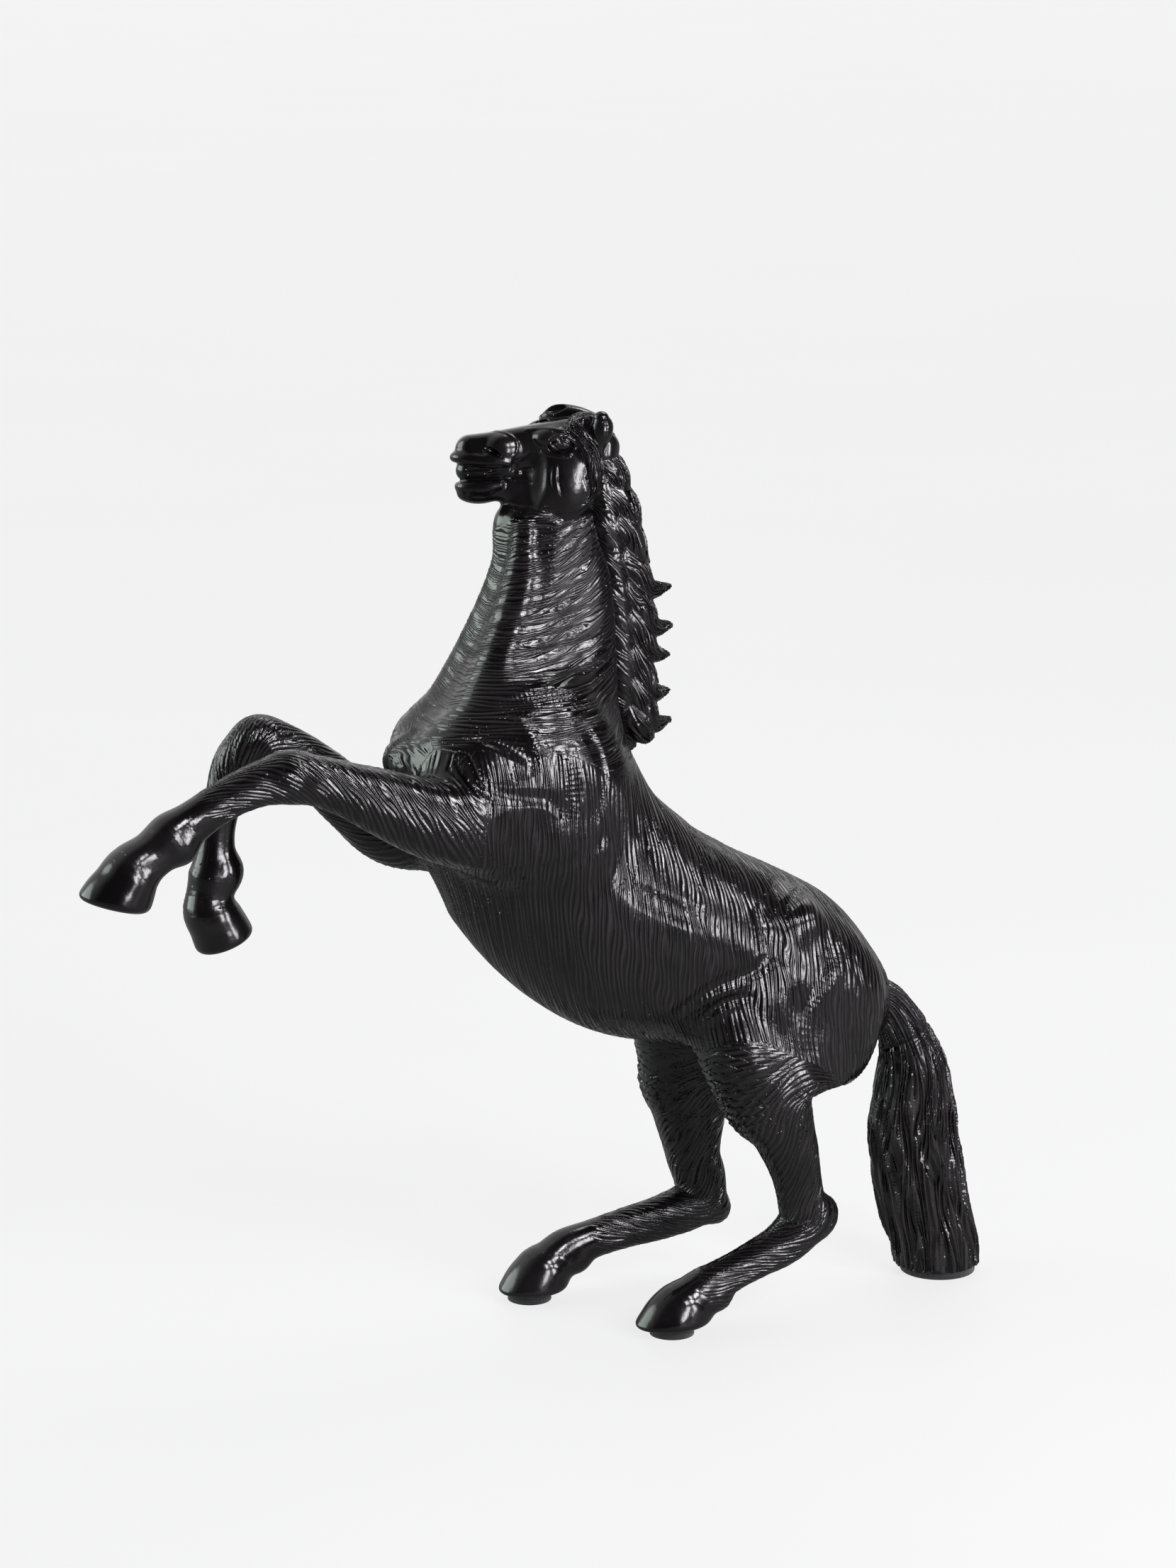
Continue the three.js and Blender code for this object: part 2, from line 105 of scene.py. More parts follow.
def nearest(points, samples):
    """The index of the nearest sample to each point."""
    half = (samples**2).sum(1) / 2
    return np.argmin(half - points @ samples.T, axis=1)


def oval(x, y, z, a, b, c, square=2.0):
    """A close estimate of the distance to an ellipsoid's skin; square above 2 flattens its sides."""
    if square == 2.0:
        size = np.sqrt((x / a)**2 + (y / b)**2 + (z / c)**2)
        steep = np.sqrt((x / a**2)**2 + (y / b**2)**2 + (z / c**2)**2)
        return size * (size - 1) / np.maximum(steep, TINY)
    u, v = np.abs(x / a) + TINY, np.abs(y / b) + TINY
    ring = (u**square + v**square)**(1 / square)
    size = np.sqrt(ring**2 + (z / c)**2)
    across = ring**(2 - square) * np.hypot(u**(square - 1) / a, v**(square - 1) / b)
    return size * (size - 1) / np.maximum(np.hypot(across, z / c**2), TINY)


def smooth_min(a, b, k):
    h = np.maximum(k - np.abs(a - b), 0) / k
    return np.minimum(a, b) - h * h * k / 4


def smooth_max(a, b, k):
    return -smooth_min(-a, -b, k)


THINNEST = 0.35  # least half size of a limb


class Limb:
    """Oval sections along a smooth line: a station is x, y, z, half depth, half width.

    A carved limb is taken away instead. The ends are rounded by 'cap' times the smaller half size.
    The hair of another limb covers a bare root.
    """

    def __init__(self, stations, side=(0, 1, 0), step=1.5, blend=4.0, hair=None, bare_root=0.0,
                 square=2.0, cap=1.0, carved=False):
        path = smooth_path(stations, step)
        self.centre, self.size = path[:, :3], np.maximum(path[:, 3:5], THINNEST)
        self.tangent = unit(np.gradient(self.centre, axis=0))
        side = np.asarray(side, float)
        self.wide = unit(side - (self.tangent @ side)[:, None] * self.tangent)
        self.deep = np.cross(self.wide, self.tangent)
        self.step = np.linalg.norm(np.diff(self.centre, axis=0), axis=1).mean()
        self.blend, self.square, self.cap, self.carved = blend, square, cap, carved
        self.hair, self.bare_root = hair, bare_root
        reach = self.size.max(1)[:, None]
        self.box = (self.centre - reach).min(0), (self.centre + reach).max(0)

    def measure(self, p):
        """Distance, place along, and the offsets by depth and by width."""
        i = nearest(p, self.centre)
        offset = ((p - self.centre[i]) * self.tangent[i]).sum(1) / self.step
        place = np.clip(i + np.clip(offset, -1, 1), 0, len(self.centre) - 1)
        j = np.minimum(place.astype(int), len(self.centre) - 2)
        f = (place - j)[:, None]

        def here(rows):
            return rows[j] * (1 - f) + rows[j + 1] * f

        q = p - here(self.centre)
        x, y = (q * here(self.deep)).sum(1), (q * here(self.wide)).sum(1)
        ends = (place <= 0) | (place >= len(self.centre) - 1)
        z = np.where(ends, (q * self.tangent[j]).sum(1), 0)
        a, b = here(self.size).T
        cap = np.minimum(a, b) * self.cap
        return oval(x, y, z, a, b, cap, self.square), place * self.step, x, y

    def distance(self, p):
        return self.measure(p)[0]


class Bulge:
    """An ellipsoid of muscle or bone; axes are its own directions, one a row."""

    def __init__(self, at, radii, axes=np.eye(3), blend=6.0, carved=False):
        self.at, self.radii, self.axes = np.asarray(at, float), np.asarray(radii, float), np.asarray(axes)
        self.blend, self.carved = blend, carved
        reach = self.radii.max()
        self.box = self.at - reach, self.at + reach

    def distance(self, p):
        q = (p - self.at) @ self.axes.T
        return oval(*q.T, *self.radii)


class Hoof:
    """A rounded bell from the coronet down to a flat sole."""

    carved = False
    sole_edge = 3.0  # rounding of the edge of the sole
    coronet_edge = 4.0
    coronet_rise = 1.5  # how far the hoof reaches up into the pastern

    def __init__(self, coronet, sole, toe, top, bottom, blend=2.5):
        self.top_at, self.sole_at = np.asarray(coronet, float), np.asarray(sole[0], float)
        self.sole_normal = unit(sole[1])
        self.axis = self.sole_at - self.top_at
        self.length = np.linalg.norm(self.axis)
        self.axis = self.axis / self.length
        toe = np.asarray(toe, float)
        self.toe = unit(toe - (toe @ self.axis) * self.axis)
        self.wide = np.cross(self.axis, self.toe)
        self.top, self.bottom, self.blend = top, bottom, blend
        reach = max(bottom) + 4
        ends = np.array([self.top_at, self.sole_at])
        self.box = ends.min(0) - reach, ends.max(0) + reach

    def distance(self, p):
        """About the distance to the hoof: its slanting wall makes it a little shorter."""
        q = p - self.top_at
        z, x, y = q @ self.axis, q @ self.toe, q @ self.wide
        t = np.clip(z / self.length, 0, 1)
        swell = t * (2 - t)
        a = self.top[0] + (self.bottom[0] - self.top[0]) * swell
        b = self.top[1] + (self.bottom[1] - self.top[1]) * swell
        side = (np.hypot(x / a, y / b) - 1) * np.minimum(a, b) * 0.92
        below = (p - self.sole_at) @ self.sole_normal
        above = -z - self.coronet_rise
        return smooth_max(smooth_max(side, below, self.sole_edge), above, self.coronet_edge)


class Stroke:
    """A raised or sunk line along a path on the skin; height is negative where it is sunk."""

    def __init__(self, path, radius, height, taper=0.35):
        self.path = smooth_path(np.asarray(path, float), radius * 0.35)
        t = np.linspace(0, 1, len(self.path))
        ends = np.clip(np.minimum(t, 1 - t) / max(taper, 1e-3), 0, 1)
        self.fade = ends * (2 - ends)
        self.radius, self.height = radius, height
        self.box = self.path.min(0) - radius, self.path.max(0) + radius

    def lift(self, p):
        i = nearest(p, self.path)
        r = np.linalg.norm(p - self.path[i], axis=1) / self.radius
        return self.height * self.fade[i] * np.maximum(1 - r * r, 0)**2


class Sculpt:
    """Shapes joined in order, then strokes worked into the skin."""

    outside = 60.0  # the value far from every shape
    margin = 8.0  # how far from its box, past its blend, a shape still counts

    def __init__(self, shapes, strokes=()):
        self.shapes, self.strokes = list(shapes), list(strokes)

    def near(self, low, high, margin):
        """The same sculpt with only what matters inside a box."""
        def keep(part):
            return (part.box[0] - margin < high).all() and (part.box[1] + margin > low).all()
        return Sculpt(filter(keep, self.shapes), filter(keep, self.strokes))

    def __call__(self, p):
        value = np.full(len(p), self.outside)
        for shape in self.shapes:
            margin = shape.blend + self.margin
            inside = ((p > shape.box[0] - margin) & (p < shape.box[1] + margin)).all(1)
            at = np.flatnonzero(inside)
            if not len(at):
                continue
            d = shape.distance(p[at])
            if shape.carved:
                value[at] = smooth_max(value[at], -d, shape.blend)
            else:
                value[at] = smooth_min(value[at], d, shape.blend)
        for stroke in self.strokes:
            at = np.flatnonzero(((p > stroke.box[0]) & (p < stroke.box[1])).all(1))
            if len(at):
                value[at] -= stroke.lift(p[at])
        return value


def slope(sculpt, p, e=0.06):
    """The distance and the outward direction of the skin at each point."""
    def work(rows):
        here = sculpt(rows)
        ahead = np.stack([sculpt(rows + step) for step in np.eye(3) * e], axis=1)
        return np.column_stack([here, unit(ahead - here[:, None])])
    found = spread(work, p)
    return found[:, 0], found[:, 1:]


def trace(sculpt, starts, way, steps=60, caution=0.7, longest=4):
    """Where rays from the starts first meet the skin."""
    p, way = np.array(starts, float), unit(way)
    for _ in range(steps):
        p = p + caution * np.clip(sculpt(p), -longest, longest)[:, None] * way
    return p


# ---------------- skin from a shape

NEAR = 9.0  # how far outside a box a shape can still touch the skin inside it
BAND_CELLS, BAND_MORE = 3.2, 1.2  # half width of the band where the exact distance is found
MOST_SETTLED = 0.4


def skin(sculpt, low, high, cell):
    """Vertices and quads of the zero surface inside a box, by naive surface nets.

    A coarse grid finds where the skin is, and the exact distance is found only near it.
    """
    low, high = np.asarray(low, float), np.asarray(high, float)
    local = sculpt.near(low, high, NEAR)
    coarse = 4
    count = np.ceil((high - low) / (cell * coarse)).astype(int)
    corner = [low[a] + np.arange(count[a] + 1) * cell * coarse for a in range(3)]
    lattice = np.stack(np.meshgrid(*corner, indexing="ij"), -1).reshape(-1, 3)
    rough = spread(local, lattice).reshape(count + 1)
    for axis in range(3):
        n = count[axis] * coarse + 1
        place = np.arange(n) / coarse
        i = np.minimum(place.astype(int), count[axis] - 1)
        shape = [1, 1, 1]
        shape[axis] = n
        f = (place - i).reshape(shape)
        rough = np.take(rough, i, axis) * (1 - f) + np.take(rough, i + 1, axis) * f
    field = rough.astype(np.float32)
    band = np.abs(field) < cell * BAND_CELLS + BAND_MORE
    field[band] = spread(lambda rows: local(low + rows * cell), np.argwhere(band))
    solid = field < 0
    last = np.array(solid.shape) - 1
    cells = sum(
        solid[i:last[0] + i, j:last[1] + j, k:last[2] + k].astype(np.int8)
        for i in (0, 1) for j in (0, 1) for k in (0, 1)
    )
    active = np.argwhere((cells > 0) & (cells < 8))
    index = np.full(cells.shape, -1, np.int64)
    index[tuple(active.T)] = np.arange(len(active))
    total, hits = np.zeros((len(active), 3)), np.zeros(len(active))
    for axis in range(3):
        others = [a for a in range(3) if a != axis]
        for u in (0, 1):
            for v in (0, 1):
                start = active.copy()
                start[:, others[0]] += u
                start[:, others[1]] += v
                end = start.copy()
                end[:, axis] += 1
                f0, f1 = field[tuple(start.T)], field[tuple(end.T)]
                cross = (f0 < 0) != (f1 < 0)
                t = np.where(cross, f0 / np.where(cross, f0 - f1, 1), 0)
                point = start.astype(float)
                point[:, axis] += t
                total += point * cross[:, None]
                hits += cross
    verts = low + total / hits[:, None] * cell
    quads = []
    for axis in range(3):
        u, v = [(1, 2), (2, 0), (0, 1)][axis]
        lower = [slice(None)] * 3
        upper = [slice(None)] * 3
        lower[axis], upper[axis] = slice(0, -1), slice(1, None)
        change = solid[tuple(lower)] != solid[tuple(upper)]
        at = np.argwhere(change)
        inner = (at[:, [u, v]] > 0) & (at[:, [u, v]] < (cells.shape[u], cells.shape[v]))
        at = at[inner.all(1)]
        back_u, back_v = np.zeros(3, int), np.zeros(3, int)
        back_u[u], back_v[v] = 1, 1
        ring = [at - back_u - back_v, at - back_v, at, at - back_u]
        quad = np.stack([index[tuple(r.T)] for r in ring], axis=1)
        outward = solid[tuple(at.T)]
        quads.append(np.where(outward[:, None], quad, quad[:, ::-1]))
    quads = np.concatenate(quads)
    return verts, quads, local


def settle(local, verts):
    """Moves the vertices onto the exact skin."""
    distance, outward = slope(local, verts)
    return verts - np.clip(distance, -MOST_SETTLED, MOST_SETTLED)[:, None] * outward


# ---------------- hair

def wobble(coords, seed, waves=7):
    """A smooth irregular number between about -1 and 1, from a few waves in random directions."""
    rng = np.random.default_rng(seed)
    size = coords.shape[1]
    direction = rng.normal(size=(waves, size))
    direction = unit(direction) * rng.uniform(0.6, 1.5, (waves, 1)) * 2 * math.pi
    phase = rng.uniform(0, 2 * math.pi, waves)
    return np.sin(coords @ direction.T + phase).sum(1) / math.sqrt(waves * 0.5)


FAR = 1e9
HAIR_BORDER = 2.5  # the strokes fade out this near to the next limb's
BARE_RISE = 1.5  # how fast a bare root gives way to the hair of the limb it grows from


def hair_at(p, limbs):
    """Phase across the strokes and their strength, from the limb that a point is on."""
    best = np.full(len(p), FAR)
    second = np.full(len(p), FAR)
    phase, strength = np.zeros(len(p)), np.zeros(len(p))
    for limb in limbs:
        inside = ((p > limb.box[0] - NEAR) & (p < limb.box[1] + NEAR)).all(1)
        at = np.flatnonzero(inside)
        if not len(at):
            continue
        d, along, x, y = limb.measure(p[at])
        d = d + BARE_RISE * np.maximum(limb.bare_root - along, 0)
        closer = d < best[at]
        second[at] = np.where(closer, best[at], np.minimum(second[at], d))
        f, s = limb.hair(along, x, y, p[at])
        phase[at] = np.where(closer, f, phase[at])
        strength[at] = np.where(closer, s, strength[at])
        best[at] = np.minimum(best[at], d)
    return phase, strength * np.clip((second - best) / HAIR_BORDER, 0, 1)


def strokes_of(across, along, pitch, depth, seed, wander=0.3, length=8.0):
    """Wavering strokes: they run where 'across' stays the same, and come and go along themselves."""
    grain = np.stack([along / (length * 1.6), across / (pitch * 4)], 1)
    phase = across / pitch + wander * wobble(grain, seed)
    breaks = wobble(np.stack([along / length, across / (pitch * 1.5)], 1), seed + 1)
    return phase, depth * np.clip(0.85 + 0.4 * breaks, 0.3, 1.15)


# ---------------- the horse

def turned(angle):
    """Axes turned about Y by an angle in degrees."""
    a = math.radians(angle)
    return np.array([[math.cos(a), 0, -math.sin(a)], [0, 1, 0], [math.sin(a), 0, math.cos(a)]])


def barrel_hair(along, x, y, p):
    """Upright strokes on the flanks that lean back along the spine and along the belly."""
    girth = np.arctan2(np.abs(y), -x) * 31
    lean = 9 * (1 - np.exp(-girth / 11)) + np.maximum(girth - 58, 0)**2 / 70
    return strokes_of(p[:, 0] * 0.88 - lean, girth, 1.35, 0.11, 11, 0.2, 12)


def neck_hair(along, x, y, p):
    """Strokes that fall forwards and down from the crest."""
    girth = np.arctan2(np.abs(y), x) * 20
    lean = np.interp(girth, [0, 9, 20, 60], [0, 11, 18, 32])  # steeper near the crest
    return strokes_of(along + lean, girth, 1.25, 0.12, 23, 0.35, 12)


def leg_hair(lean, strength, seed, bare_from):
    """Slanting strokes down to where the leg is bare; lean is their share of girth and length."""
    def hair(along, x, y, p):
        girth = np.abs(np.arctan2(y, x)) * 8
        phase, depth = strokes_of(girth * lean[0] + along * lean[1], along, 1.35, strength, seed, 0.2)
        return phase, depth * np.clip((bare_from - along) / 6, 0, 1)
    return hair


def lock_hair(round_size, pitch, strength, seed, twist=0.1, length=12):
    """Strands that run down a lock of hair."""
    def hair(along, x, y, p):
        girth = np.abs(np.arctan2(y, x)) * round_size
        return strokes_of(girth + along * twist, along, pitch, strength, seed, 0.5, length)
    return hair


def mane_root_hair(along, x, y, p):
    return strokes_of(along * 0.8 + x * 0.8, x, 1.6, 0.16, 61, 0.5, 8)


def no_hair(along, x, y, p):
    return along * 0, along * 0


BARREL = Limb([
    (-70, 0, 190, 7, 10), (-61, 0, 186, 19, 21), (-46, 0, 178.5, 29.5, 26), (-30, 0, 166, 36.5, 28),
    (-13, 0, 145.5, 37.5, 30), (4, 0, 132, 37, 31), (22, 0, 124, 34.3, 30), (43, 0, 116.5, 31, 28),
    (60, 0, 107.5, 29.6, 26), (75, 0, 99.5, 23.6, 21), (87, 0, 93.5, 15.6, 14), (94, 0, 89.5, 5.6, 6),
], step=2.0, blend=5, hair=barrel_hair)

NECK = Limb([
    (-33, 0, 176, 32, 22), (-31, 0, 191, 31.4, 21), (-27.5, 0, 207, 27, 18), (-24, 0, 222, 22.8, 15),
    (-21.4, 0, 236, 19.6, 12.6), (-19.6, 0, 247, 16.8, 10.4), (-18.2, 0.4, 256, 13.8, 7.8),
    (-15.6, 1, 264, 10.4, 6), (-12.5, 1.6, 271, 6.5, 4.6),
], step=2.0, blend=13, hair=neck_hair, square=3.0)

NECK_RIDGE = [
    (-32, 5.6, 262, 4, 3.2), (-35, 7.8, 243, 4.6, 3.6), (-41.5, 10.4, 226, 5.2, 4.2),
    (-50, 13, 208, 6, 5.4), (-59, 14, 195, 7, 6.5),
]
NECK_FRONT = [
    Limb([(x, y * side, *rest) for x, y, *rest in NECK_RIDGE], blend=8)
    for side in (-1, 1)
]
THROAT = Bulge((-29, 4, 261), (8.5, 6.5, 9), np.eye(3), 7)

LEFT_FORELEG = Limb([
    (-34, -16, 176, 20, 12), (-48, -21, 172, 16.5, 12), (-60, -24, 174, 13.6, 10.5),
    (-73, -25, 178, 12, 9.3), (-88, -25, 184.6, 10, 8), (-99, -25, 189.4, 8.2, 6.8),
    (-108, -25, 192.6, 7.6, 6.8), (-117, -25, 194, 7.7, 7.1), (-126, -25, 193, 6.6, 6.2),
    (-137, -25, 189, 6, 5.2), (-147, -25, 183.2, 6.4, 5.4), (-153, -25, 179.2, 7.8, 6.8),
    (-159.5, -25, 174.6, 7, 6.6), (-165, -25, 171, 7.8, 7.6), (-167, -25, 169.4, 7.8, 7.6),
], blend=7, hair=leg_hair((0.85, 0.55), 0.11, 31, 118), bare_root=34, square=2.5)

RIGHT_FORELEG = Limb([
    (-34, 16, 176, 19, 12), (-52, 21, 166, 16.5, 12), (-66, 25, 164.5, 13.4, 10), (-80, 26, 173.5, 10, 8.8),
    (-91, 26, 183.5, 8.6, 7.8), (-101, 26, 191, 7.9, 7.2), (-109, 26, 194, 7.8, 7.4),
    (-116.5, 26, 189, 7.2, 6.9), (-121, 26, 178.5, 6, 5.4), (-123.6, 26, 168, 5.4, 5),
    (-124.6, 26, 159, 6.4, 5.8), (-125, 26, 153, 8, 7), (-126.6, 26, 147, 7.2, 6.8),
    (-127, 26, 142.5, 8, 7.8), (-126.6, 26, 140.5, 8, 7.8),
], blend=7, hair=leg_hair((0.85, -0.5), 0.11, 37, 112), bare_root=34, square=2.4)

LEFT_HINDLEG = Limb([
    (64, -13, 108, 22, 12), (55, -18, 97, 25, 13.5), (46, -22, 85, 25, 13.5), (44, -24, 74, 16, 12),
    (48, -25, 64, 10.6, 9.8), (51, -25, 56, 9, 8.6), (53.2, -25, 48, 7.8, 7.2), (54.8, -25, 40, 7.5, 6.6),
    (55.6, -25, 32.5, 8, 6.8), (49.5, -25, 26, 7.2, 6.2), (39, -25, 21.3, 6.2, 5.4),
    (29, -25, 17.2, 6.1, 5.2),
    (22.5, -24.6, 13.6, 7.4, 6.2), (17.5, -24.3, 11, 7.4, 6.6), (14, -24.3, 9, 7, 6.6),
], blend=12, hair=leg_hair((0.8, 0.55), 0.11, 41, 128), bare_root=36, square=2.3)

RIGHT_HINDLEG = Limb([
    (62, 13, 106, 22, 12), (51, 18, 95, 25, 13.5), (41, 22, 82, 23.5, 13.5), (36, 24, 70, 17, 12),
    (37, 25, 60, 13.4, 10), (37.6, 25, 50, 10.6, 8.8), (38.6, 25, 41, 8.8, 7.6), (41, 25, 33, 8.6, 7),
    (40, 25, 26, 8.4, 6.8), (28.5, 25, 21.8, 7.4, 6), (14, 25, 19.4, 6.6, 5.4), (2, 24.5, 17.2, 6.4, 5.3),
    (-7, 24, 14.6, 7.4, 6.2), (-12.5, 23.4, 12, 7.2, 6.6), (-16, 23.4, 10, 7, 6.6),
], blend=12, hair=leg_hair((0.8, 0.55), 0.11, 43, 132), bare_root=36, square=2.3)

LEGS = [LEFT_FORELEG, RIGHT_FORELEG, LEFT_HINDLEG, RIGHT_HINDLEG]

HOOVES = [
    # coronet, middle of the sole and its normal, toe, half sizes at the coronet and at the sole
    Hoof((-165.5, -25, 169.5), ((-172.5, -25, 159.6), (-0.28, 0, -0.96)), (-1, 0, 0.3),
         (8, 7.8), (10.8, 9.4)),
    Hoof((-126.2, 26, 141.5), ((-121.5, 26, 130.5), (0.35, 0, -0.94)), (-1, 0, -0.4),
         (8.2, 8), (9.6, 9.4)),
    Hoof((16.6, -24.3, 11.2), ((10.4, -24.3, SOLE), (0, 0, -1)), (-1, 0, 0), (8.4, 7.8), (11.4, 9.8)),
    Hoof((-13.8, 23.4, 12.2), ((-19.6, 23.4, SOLE), (0, 0, -1)), (-1, 0, 0), (8, 7.8), (10.8, 9.8)),
]

SIDE_MUSCLES = [
    # centre, radii, turn, blend
    ((-28, 19, 190), (18, 9, 24), -18, 14),  # shoulder blade
    ((-51, 18, 185), (16, 11.5, 12.5), 30, 11),  # point of the shoulder
    ((-33, 21, 165), (21, 10, 13), 20, 6),  # triceps
    ((-57, 8, 186), (9.5, 8.5, 14), 0, 12),  # breast
    ((62, 14, 110), (24, 13.5, 18), 30, 8),  # haunch
    ((53, 19, 131), (9, 8, 7), -30, 8),  # point of the hip
    ((43, 20, 108), (8.5, 9, 21), 30, 7),  # front of the thigh
    ((72, 13, 92), (13, 12, 19), -6, 7),  # buttock
]

MUSCLES = [
    Bulge((x, y * side, z), radii, turned(turn), blend)
    for (x, y, z), radii, turn, blend in SIDE_MUSCLES
    for side in (-1, 1)
]
STIFLES = [
    Bulge((33, -23, 91), (9.5, 9, 11), turned(20), 7),
    Bulge((27, 22, 89), (9.5, 9, 11), turned(20), 7),
]

LEG_BONES = [
    Bulge((-116, -25, 195.5), (8, 7.6, 6.6), turned(0), 3),  # left knee
    Bulge((-110, 26, 195.5), (7.6, 7.6, 7), turned(0), 3),  # right knee
    Bulge((-151.5, -25, 176), (5.6, 5.4, 5), turned(30), 3),  # left fetlock
    Bulge((-121.5, 26, 154.5), (5.6, 5.4, 6), turned(0), 3),  # right fetlock
    Bulge((61.5, -25, 33), (6.2, 5, 7.4), turned(20), 3.5),  # left point of hock
    Bulge((46.5, 25, 22.5), (5.4, 4.6, 5.6), turned(-30), 3.5),  # right point of hock
    Bulge((24.5, -24.5, 10.6), (5.4, 5.2, 4.6), turned(20), 3),  # left hind fetlock
    Bulge((-5, 24, 11.2), (5.4, 5.2, 4.4), turned(10), 3),  # right hind fetlock
    Bulge((56, -25, 44), (3.2, 4, 16), turned(-14), 3),  # left hamstring tendon
    Bulge((43.5, 25, 38), (3.2, 4, 14), turned(-8), 3),  # right hamstring tendon
]

# The head, in its own directions: forwards, to its left and up, from its middle.
HEAD_AT = np.array([-13.6, 2.0, 280.0])
HEAD_YAW, HEAD_TILT = math.radians(14), math.radians(5)
HEAD_FORWARD = np.array([-math.cos(HEAD_YAW), math.sin(HEAD_YAW), 0])
flat_left = np.cross((0, 0, 1), HEAD_FORWARD)
HEAD_LEFT = flat_left * math.cos(HEAD_TILT) + np.cross(HEAD_FORWARD, flat_left) * math.sin(HEAD_TILT)
HEAD_UP = np.cross(HEAD_FORWARD, HEAD_LEFT)
HEAD_AXES = np.array([HEAD_FORWARD, HEAD_LEFT, HEAD_UP])


def on_head(points):
    return HEAD_AT + np.asarray(points, float) @ HEAD_AXES


def head_limb(stations, blend=2.0, step=0.8, hair=no_hair, **kind):
    rows = [(*on_head(s[:3]), *s[3:]) for s in stations]
    return Limb(rows, side=HEAD_LEFT, step=step, blend=blend, hair=hair, **kind)


def both_ways(stations):
    """Stations from the middle of the muzzle back along its left side, with their mirror before."""
    mirror = [(f, -s, *rest) for f, s, *rest in stations[:0:-1]]
    return mirror + list(stations)


def muzzle_limb(stations, **kind):
    """A limb that runs round the muzzle, upright: half height, then half thickness outward."""
    rows = [(*on_head((f, s, u)), thick, high) for f, s, u, high, thick in both_ways(stations)]
    return Limb(rows, side=HEAD_UP, step=0.5, **kind)


def head_bulges(at, radii, blend=2.0, tilt=0.0, carved=False):
    """The same bulge on both cheeks; tilt lifts its front, in degrees."""
    a = math.radians(tilt)
    spin = np.array([[math.cos(a), 0, math.sin(a)], [0, 1, 0], [-math.sin(a), 0, math.cos(a)]])
    f, s, u = at
    places = [on_head((f, s * side, u)) for side in (-1, 1)]
    return [Bulge(place, radii, spin @ HEAD_AXES, blend, carved) for place in places]


SKULL = head_limb([
    (-9, 0, 4.5, 6, 6.6), (-5, 0, 4.8, 8.8, 8.6), (1, 0, 4.4, 9.8, 9.2),
    (8, 0, 4.6, 8.6, 8.2), (15, 0, 4.9, 7.1, 6.6),
    (22, 0, 4.9, 5.9, 5.4), (27, 0, 4.8, 5.3, 5.3), (32, 0, 4.7, 4.9, 5),
], blend=4, square=3.2, cap=0.95)

LOWER_JAW = head_limb([
    (-6, 0, -6, 6, 6.4), (0, 0, -8, 9.2, 7.6), (6, 0, -7.6, 9, 7.4),
    (13, 0, -7.6, 7.4, 6), (19, 0, -7.4, 5.2, 4.9),
    (25, 0, -7, 3.8, 4.6), (30, 0, -7, 3, 4.2),
], blend=2.5, square=2.5)

GUMS = head_limb([
    (18, 0, -1.2, 3.4, 4.6), (27, 0, -1.4, 3.3, 4.9), (33.2, 0, -1.5, 3.4, 4.3),
], blend=0.8, square=2.4)

FORELOCK = head_limb([
    (-7, 1, 12, 2.6, 3), (-3, 4, 13.6, 2.6, 2.4), (0.6, 7.4, 12.2, 2.4, 2), (-1.6, 9.4, 8.8, 2.4, 1.6),
    (-4.4, 10, 4.4, 2.5, 1.5), (-5.8, 9.8, -1, 2.4, 1.4),
    (-5.8, 9, -6, 1.8, 1.1), (-5.2, 8.2, -10, 0.6, 0.6),
], blend=0.8, hair=lock_hair(3, 1.35, 0.22, 81, 0.05))

LEFT_EAR = head_limb([
    (-6.6, 6.8, 6.5, 2.6, 2.6), (-7.9, 7.9, 9.6, 3.4, 3),
    (-8.2, 8.3, 12.4, 3.4, 2.8), (-7.9, 8.3, 14.4, 2.4, 2.1),
], blend=0.8)

RIGHT_EAR = head_limb([
    (-7, -4.5, 12, 3.4, 3.4), (-2, -6.8, 14.4, 3.1, 3.8),
    (4, -8.4, 15.2, 2.7, 3.2), (8, -9.2, 13.8, 1.2, 1.4),
], blend=1.2)

